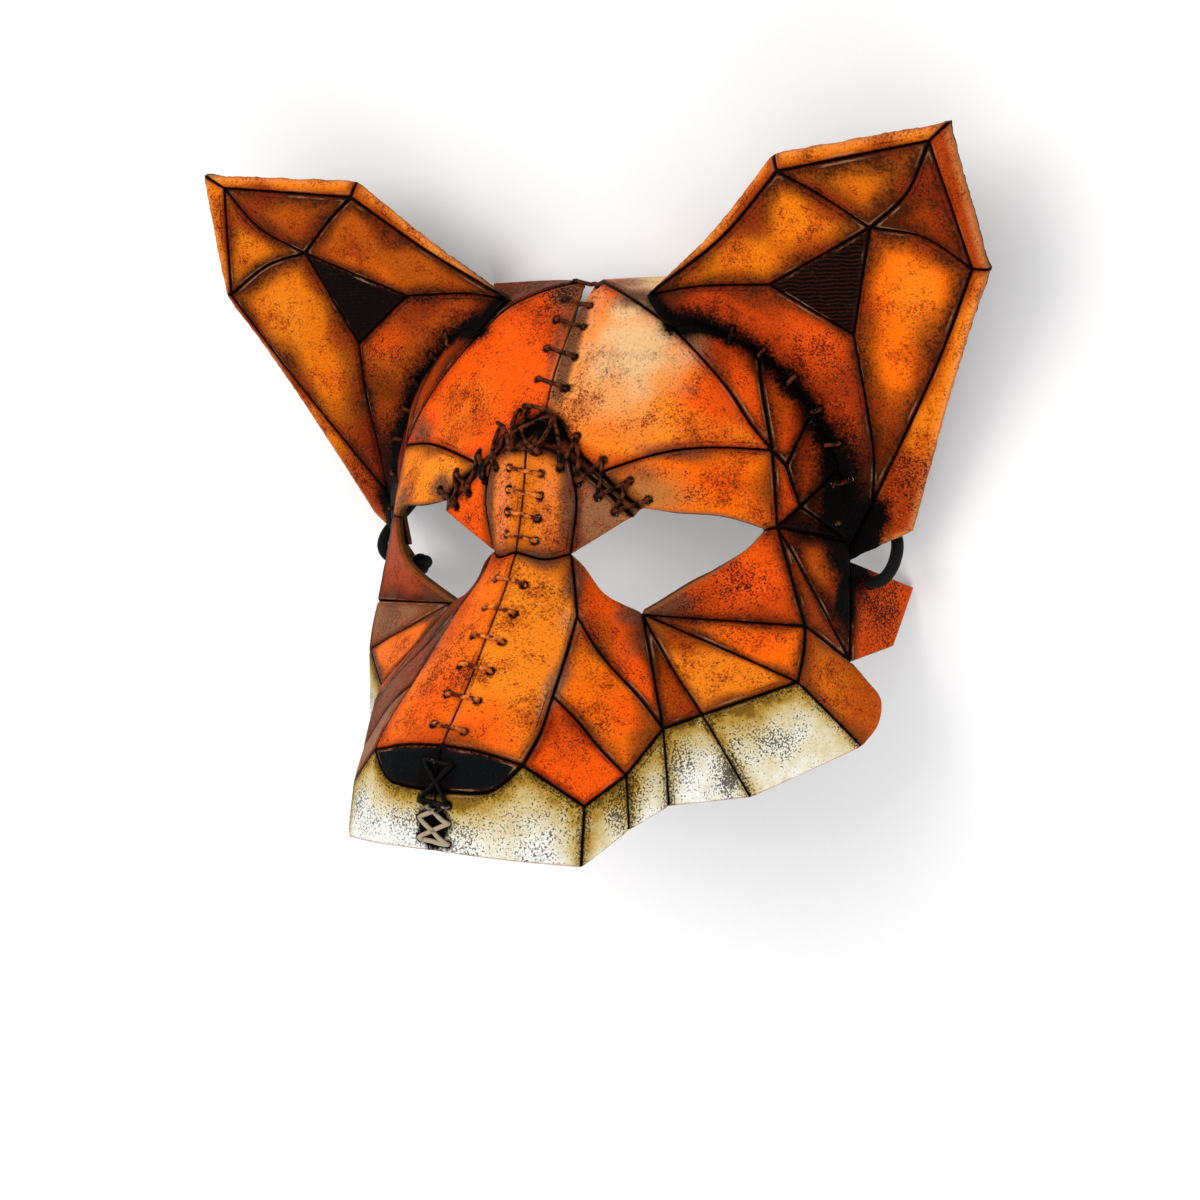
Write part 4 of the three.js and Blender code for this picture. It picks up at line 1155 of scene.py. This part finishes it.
def darken_join(sheet, join, soot_width, red_width, red):
    """Reddens a sheet beside the join of face and ear, and tells how sooty it is there.

    A width has its start, how much it widens towards the foot of the ear, and how it wavers.
    """
    gap, down = gap_to(sheet["points"], join)
    start, widening, waver = soot_width
    width = start + widening * down + waver * patches(sheet["points"], size=8, seed=9)
    start, widening = red_width
    blend_dye(sheet, red * fall_off(gap, start + widening * down), "oxblood")
    return 1.4 * fall_off(gap, width, sharpness=1.6)


def paint_face(sheet, dyes, touches, cream, ash, stipple, chalk):
    """Paints half the face. The chalk is how white its fur is brushed."""
    panels = paint_sheet(sheet, dyes, touches)
    points, line = sheet["points"], sheet["line"]
    # the middle seam is inked as a carved line is, and isn't a worn edge
    from_seam = points[:, 0] - SEAM
    sheet["ink"] = np.minimum(sheet["ink"], from_seam + 0.1)
    sheet["rim"] = np.where(from_seam < sheet["edge"] + 0.3, FAR, sheet["edge"])
    # cream is worked into the grain, with painted highlights on the right of the snout, and ash lies
    # on all but the nose
    sheet["rub"] = touches_of(sheet, cream)
    sheet["grain"] *= 1 - 0.55 * np.clip(sheet["rub"], 0, 1)
    sheet["ash"] = np.where(panels == "nose", 0, touches_of(sheet, ash))
    # soot in touches, at the ear, along the dart and on the two small panels of the temple
    join = darken_join(
        sheet, points[side_edge(sheet)], soot_width=(4.8, 9, 2), red_width=(7, 6), red=0.6
    )
    to_dart = gap_to(points, along_rows(sheet, DART_SIDES))[0]
    dart = 0.9 * fall_off(to_dart, width=1.8, sharpness=1.3)
    temple = 0.75 * np.isin(panels, ("temple_low", "temple_back"))
    sheet["soot"] = np.maximum.reduce([touches_of(sheet, FACE_SOOT_TOUCHES), join, dart, temple])
    # the fur is ochre along its top and its lines, and white from 21 mm below its top on
    fur = np.isin(panels, FUR_PANELS)
    sheet["pelt"] = fur * 1.0
    below_top = gap_to(points, along_rows(sheet, FUR_TOP))[0]
    sheet["white"] = smoothstep(-3, 21, below_top) * (0.4 + 0.6 * smoothstep(0, 7, line))
    sheet["white"] *= chalk * (1 + 0.35 * patches(points, size=15, seed=21))
    sheet["white"] *= np.where(panels == "fur_d", 0.75, 1)
    # dark spatter, thick in the creases of the fur and thin where the cream is
    crease = 0.75 * fall_off(line, width=3, sharpness=1.5)
    in_fur = np.maximum(0.1 + touches_of(sheet, FUR_STIPPLE_TOUCHES), crease)
    on_dye = 0.05 + touches_of(sheet, stipple) - 0.3 * sheet["rub"]
    sheet["stipple"] = np.where(fur, in_fur, on_dye)
    sheet["stipple"][panels == "nose"] = -1


def paint_ear(sheet, dyes, ribs):
    """Paints an ear. The last argument is how strongly the painted highlights on the tooled ridges of
    its dark panel show.
    """
    panels = paint_sheet(sheet, dyes, EAR_TOUCHES)
    base = along_rows(sheet, ("start base", "base foot"))
    join = darken_join(sheet, base, soot_width=(6, 10.5, 2.5), red_width=(11, 8), red=0.8)
    sheet["ink"] -= 0.05
    sheet["soot"] = np.maximum(touches_of(sheet, EAR_SOOT_TOUCHES), join)
    sheet["stipple"] = touches_of(sheet, EAR_STIPPLE_TOUCHES)
    blend_dye(sheet, 0.35 * (1 - smoothstep(0.5, 3, sheet["edge"])), "apricot")
    sheet["fade"][panels == "dark"] = 0.5
    # painted highlights on the tooled ridges of the dark panel
    sheet["ribs"] = (panels == "dark") * ribs


def fray_rim(sheet, rows):
    """Roughens the outer edges of a sheet, as cut and rasped leather is."""
    middle = sheet["points"].mean(0)
    for row in rows:
        numbers = sheet["rows"][row][1:-1]
        places, normals = sheet["points"][numbers], sheet["normals"][numbers]
        out = places - middle
        out = unit_rows(out - normals * (out * normals).sum(1)[:, None])
        rough = 0.35 * patches(places, size=5, seed=11) + 0.3 * patches(places, size=1.7, seed=12)
        sheet["points"][numbers] = places + out * rough[:, None]


def drill(piece, drills):
    """Cuts round holes through a piece: each with its place, its way out and its radius."""
    tools = []
    bpy.ops.object.select_all(action="DESELECT")
    for place, out, radius in drills:
        way = Vector(LYING @ out)
        bpy.ops.mesh.primitive_cylinder_add(
            vertices=HOLE_SIDES, radius=radius * MM, depth=DRILL_LENGTH * MM,
            location=Vector(lay_down(place)) - way * HOLE_MIDDLE * MM,
            rotation=way.to_track_quat("Z", "Y").to_euler(),
        )
        tools.append(bpy.context.object)
    take(tools[0])
    for tool in tools:
        tool.select_set(True)
    bpy.ops.object.join()
    take(piece)
    cut = piece.modifiers.new("holes", "BOOLEAN")
    cut.object = tools[0]
    cut.operation = "DIFFERENCE"
    cut.solver = "MANIFOLD"
    bpy.ops.object.modifier_apply(modifier=cut.name)
    bpy.data.objects.remove(tools[0])


def carry_paint(piece, sheet, side):
    """Carries a sheet's paint to the finished piece, and marks the raw flesh side."""
    home = lay_down(on_side(sheet["points"], side))
    out = on_side(sheet["normals"], side) @ LYING.T
    tree = search_tree(home)
    places = np.empty(len(piece.data.vertices) * 3)
    piece.data.vertices.foreach_get("co", places)
    places = places.reshape(-1, 3)
    near = np.array([tree.find(p)[1] for p in places])
    depth = ((home[near] - places) * out[near]).sum(1)
    values = {word: sheet[word][near] for word in PAINT_WORDS}
    # raw from a little below the carved lines: inside, and low on the cut edges and in the holes
    values["raw"] = smoothstep(0.3 * MM, 0.9 * MM, depth)
    for word, numbers in values.items():
        attribute = piece.data.attributes.new(word, "FLOAT", "POINT")
        attribute.data.foreach_set("value", numbers.astype(np.float32))
    for word in ("dye", "shade"):
        attribute = piece.data.attributes.new(word, "FLOAT_COLOR", "POINT")
        attribute.data.foreach_set("color", sheet[word][near].astype(np.float32).ravel())


def add_leather(name, sheet, side, is_face, drills, node):
    """One piece of leather: its shell, its holes, its paint, and the solid that it stands for."""
    points, faces = leather_shell(sheet, is_face)
    piece = add_mesh(name, points, faces, side)
    drill(piece, drills)
    # each hole is dark all round, less and less from 1.3 to 2.9 mm from its middle
    holes = np.array([on_side(place, side) for place, _, _ in drills])
    halo = 1.1 - smoothstep(1.3, 2.9, gap_to(sheet["points"], holes)[0])
    sheet["soot"] = np.maximum(sheet["soot"], halo)
    carry_paint(piece, sheet, side)
    # the holes leave an empty slot where the material goes
    piece.data.materials.clear()
    piece.data.materials.append(LEATHER)
    take(piece)
    bpy.ops.object.shade_smooth_by_angle(angle=SMOOTH_TO)
    stand_for(piece, node)


# The two halves of the face and the two ears, by side
halves, ears = {}, {}
for side, corners, bends, *paints in (
    (1, RIGHT_FACE, RIGHT_BENDS, RIGHT_DYES, RIGHT_TOUCHES, CREAM_AND_HIGHLIGHT_TOUCHES, RIGHT_ASH_TOUCHES,
     RIGHT_STIPPLE_TOUCHES, 0.95),
    (-1, FACE, FACE_BENDS, LEFT_DYES, LEFT_TOUCHES, [], LEFT_ASH_TOUCHES, LEFT_STIPPLE_TOUCHES, 1.2),
):
    halves[side] = carve_sheet(corners, bends, FACE_PANELS, flat=("tab",), sunk=("dart",))
    paint_face(halves[side], *paints)

# how strongly each ear's dark panel shows painted highlights on its tooled ridges
for side, corners, bends, dyes, ribs in (
    (1, EAR, EAR_BENDS, RIGHT_EAR_DYES, 0.8),
    (-1, LEFT_EAR, LEFT_EAR_BENDS, LEFT_EAR_DYES, 0.1),
):
    ears[side] = carve_sheet(*ear_corners(halves[side], corners, bends), EAR_PANELS)
    fray_rim(ears[side], EAR_RIM)
    paint_ear(ears[side], dyes, ribs)

# Lacing

# A thong is drawn over these shares of the way from one hole to the next
STRAND_SHARES = (0.14, 0.32, 0.5, 0.68, 0.86)
TAIL = 4.5             # a lace starts this deep inside the leather
TUCK = 1.5             # the ends of a wound strand are pushed this deep into it
LAYERS = 4             # of strands in the tangle
PILE = 0.5             # each layer lies this much higher

# Where the holes are: by height along the middle seam, and elsewhere by place, as if on the right
FOREHEAD_HEIGHTS = (99.5, 91.5, 83.5, 72.5, 61)
SNOUT_HEIGHTS = (29, 21.2, 13.4, 5.6, -10, -20.2, -30.4, -40.6, -50.8, -61)
MUZZLE_HEIGHTS = (-72, -85, -91, -97.8)
BROW_HOLES = {
    1: [(14.8, 12.5, 41.7), (25.6, 12.5, 33.9), (35.9, 13.5, 27), (43.3, 14.5, 20.7)],
    -1: [(15.6, 11, 41.5), (26.5, 12.5, 36), (37, 14, 29), (44.5, 15.5, 22.3)],
}
FLAP_HOLES = [(13.1, 4.6, 30.1), (19.2, 6.8, 25.5), (26.7, 8.6, 20.9), (32.9, 10.4, 16)]
EAR_HOLE_SHARES = [0.18 + 0.115 * i for i in range(7)]    # of the way down the base of an ear
EAR_REACH = 3.4        # from the join of face and ear to a hole on either side
FACE_INWARD = (60, 30, 40)    # a place on the face side of that join

# Where the forehead seam meets the darts the thong is wound over itself
TANGLE = [
    [(-6.8, 14.7, 51.8), (-7.6, 12.5, 46), (-4.5, 8, 41), (2.9, 2.9, 36.2)],
    [(4.3, 13.4, 47.9), (-3, 11, 44.5), (-9.5, 10, 41.5), (-7, 5, 38), (-4.6, 2.8, 36)],
    [(4.9, 13.2, 47.3), (5.2, 8, 42), (5.5, 2.9, 36)],
    [(-17.1, 13.7, 45.4), (-11, 8.5, 41.5), (-4.6, 2.8, 36)],
    [(-16.4, 13.4, 44.9), (-18, 11.6, 39), (-13.1, 4.9, 31.7)],
    [(-4, 2.9, 36), (0, 2.9, 36.3), (4.5, 2.9, 34.8)],
    [(-2.1, 2.9, 36.4), (2, 2.9, 36.8), (6, 2.9, 35.6)],
    [(-7.6, 14.6, 51.5), (-3, 14.6, 51.4), (4.3, 13.4, 48)],
    [(-10.2, 14.6, 50.7), (-11.7, 12.5, 46.5), (-9, 9, 40.5)],
    [(4.3, 13.4, 47.9), (8.5, 9, 39), (13.3, 5, 29.9)],
]


def skin_of(*sheets):
    """Where the outer surface of some leather is, and which way it faces."""
    places = np.vstack([
        on_side(sheet["points"] + sheet["normals"] * sheet["rise"][:, None], side)
        for sheet, side in sheets
    ])
    return search_tree(places), np.vstack([on_side(sheet["normals"], side) for sheet, side in sheets])


def on_skin(skin, place):
    """The spot of the surface under a place, and its way out, the mean over a dozen points."""
    tree, ways = skin
    spot, _, _ = tree.find(place)
    out = unit(ways[[found[1] for found in tree.find_n(place, 12)]].mean(0))
    place = np.array(place, float)
    return place - out * ((place - np.array(spot)) @ out), out


def strand(skin, start, end, outside=True):
    """Points along a thong from one hole to the next, lying on the leather or under it."""
    points = []
    for share in STRAND_SHARES:
        place = start[0] * (1 - share) + end[0] * share
        spot, out = on_skin(skin, place)
        height = (place - spot) @ out
        if outside:
            height = max(height, THONG_RADIUS + OVER_LEATHER)
        else:
            height = min(height, -(THICKNESS + THONG_RADIUS + UNDER_LEATHER))
        points.append(spot + out * height)
    return points


def through(hole):
    """Points out through a hole."""
    place, out = hole
    return [place - out * THICKNESS, place - out * HOLE_MIDDLE, place + out * HOLE_TOP]


def stitch(skin, start, end):
    """Points out of one hole, over the leather and in through the next."""
    return [*through(start), *strand(skin, start, end), *through(end)[::-1]]


def lace_up(skin, holes):
    """One thong's route through holes in turn, over the leather first and then under it."""
    place, out = holes[0]
    route = [place - out * TAIL]
    for number, (start, end) in enumerate(zip(holes, holes[1:])):
        route += strand(skin, start, end, outside=False) if number % 2 else stitch(skin, start, end)
    return route


def wound(skin, stops, layer):
    """A strand that lies over others, with its ends pushed into the leather."""
    spots = [on_skin(skin, stop) for stop in stops]
    over = [
        spot + out * (max((np.array(stop) - spot) @ out, 0) + THONG_RADIUS + PILE * layer)
        for (spot, out), stop in zip(spots, stops)
    ]
    start, end = (spot - out * TUCK for spot, out in (spots[0], spots[-1]))
    return [start, *over, end]


def add_lacing(name, routes, material, node, radius=THONG_RADIUS):
    paths = [lay_down(smooth_line(route, THONG_STEP)) for route in routes]
    piece = add_tubes(name, paths, radius * MM, THONG_ROUNDNESS)
    piece.data.materials.append(material)
    stand_for(piece, node)


def middle_holes(skin, heights, stops, half, slant):
    """Pairs of holes across the middle seam, left then right, the right one lower by the slant."""
    pairs = []
    for z in heights:
        # the seam's depth at this height, from its stops downwards
        depth = float(np.interp(-z, [-stop[2] for stop in stops], [stop[1] for stop in stops]))
        pairs.append([
            on_skin(skin, (side * half, depth, z - side * slant / 2)) for side in (-1, 1)
        ])
    return pairs


def ear_hole_pairs(face, ear):
    """Pairs of holes along the base of an ear, first in the face and then in the ear."""
    edge = side_edge(face)
    line = face["points"][edge]
    lengths = np.concatenate([[0], np.cumsum(np.linalg.norm(np.diff(line, axis=0), axis=1))])

    def place_at(length):
        return np.array([np.interp(length, lengths, line[:, k]) for k in range(3)])

    face_skin, ear_skin = skin_of((face, 1)), skin_of((ear, 1))
    pairs = []
    for share in EAR_HOLE_SHARES:
        length = share * lengths[-1]
        join = place_at(length)
        # the way along the join, from a place 2 mm further on
        along = unit(place_at(length + 2) - join)
        near = edge[int(np.argmin(np.linalg.norm(line - join, axis=1)))]
        pair = []
        for skin, out, inward in (
            (face_skin, face["normals"][near], FACE_INWARD),
            (ear_skin, on_skin(ear_skin, join)[1], EAR["darkFoot"]),
        ):
            across = np.cross(out, along)
            across *= np.sign((np.array(inward) - join) @ across)
            pair.append(on_skin(skin, join + across * EAR_REACH))
        pairs.append(pair)
    return pairs


both_halves = skin_of((halves[1], 1), (halves[-1], -1))
forehead_seam = [FACE["crownTop"], *FACE_BENDS["crownTop dartTop"], FACE["dartTop"]]
snout_seam = [
    FACE["bridgeTop"], *FACE_BENDS["bridgeTop bridgeFoot"], FACE["bridgeFoot"],
    *FACE_BENDS["bridgeFoot noseTop"], FACE["noseTop"],
]
muzzle_seam = [FACE["noseTop"], FACE["noseFoot"], FACE["lip"]]
forehead_holes = middle_holes(both_halves, FOREHEAD_HEIGHTS, forehead_seam, half=6.5, slant=4)
snout_holes = middle_holes(both_halves, SNOUT_HEIGHTS, snout_seam, half=6.5, slant=2)
muzzle_holes = middle_holes(both_halves, MUZZLE_HEIGHTS, muzzle_seam, half=5.6, slant=1.2)

forehead_thong = [lace_up(both_halves, sum(forehead_holes, []))]
forehead_thong += [
    wound(both_halves, stops, 1 + number % LAYERS) for number, stops in enumerate(TANGLE)
]
add_lacing("forehead_lacing", forehead_thong, DARK_THONG, "forehead_lace")
add_lacing("snout_lacing", [lace_up(both_halves, sum(snout_holes, []))], DYED_THONG, "snout_lace")
# the muzzle has straight stitches below the nose and at the lip, and crosses between the rows
crossings = [muzzle_holes[row] for row in (0, 1, 3)]
for above, below in zip(muzzle_holes, muzzle_holes[1:]):
    crossings += [(above[0], below[1]), (above[1], below[0])]
muzzle_thong = [stitch(both_halves, a, b) for a, b in crossings]
add_lacing("muzzle_lacing", muzzle_thong, DUSTED_THONG, "muzzle_lace")

face_holes = {1: [], -1: []}
ear_holes = {}
for word, side in SIDES:
    own = skin_of((halves[side], side))
    brow = [on_skin(own, on_side(hole, side)) for hole in BROW_HOLES[side]]
    flap = [on_skin(own, on_side(hole, side)) for hole in FLAP_HOLES]
    zigzag = [hole for pair in zip(flap, brow) for hole in pair]
    runs = [stitch(own, a, b) for a, b in zip(zigzag, zigzag[1:])]
    runs += [strand(own, a, b, outside=False) for a, b in zip(brow, flap[1:])]
    add_lacing(f"brow_lacing_{word}", runs, DARK_THONG, f"brow_lace_{word}")
    face_holes[side] += brow + flap

for word, side in SIDES:
    pairs = [
        [(on_side(place, side), on_side(out, side)) for place, out in pair]
        for pair in ear_hole_pairs(halves[side], ears[side])
    ]
    skin = skin_of((halves[side], side), (ears[side], side))
    runs = [stitch(skin, a, b) for a, b in pairs]
    add_lacing(f"ear_lacing_{word}", runs, DARK_THONG, f"ear_lace_{word}", EAR_THONG_RADIUS)
    face_holes[side] += [pair[0] for pair in pairs]
    ear_holes[side] = [pair[1] for pair in pairs]

for left_hole, right_hole in forehead_holes + snout_holes + muzzle_holes:
    face_holes[-1].append(left_hole)
    face_holes[1].append(right_hole)

# The tie cord goes out through a hole in each tab, 3 mm from its end
cord_place, cord_next = stand_up(CORD_ROUTE[:2])
cord_way = unit(cord_next - cord_place)
tab_hole = cord_place + cord_way * 3

for word, side in SIDES:
    drills = [(*hole, HOLE_RADIUS) for hole in face_holes[side]]
    drills.append((on_side(tab_hole, side), on_side(cord_way, side), CORD_HOLE_RADIUS))
    add_leather(
        f"carved_face_{word}", halves[side], side, True, drills, f"face_{word}"
    )
    drills = [(*hole, HOLE_RADIUS) for hole in ear_holes[side]]
    add_leather(
        f"carved_ear_{word}", ears[side], side, False, drills, f"ear_{word}"
    )
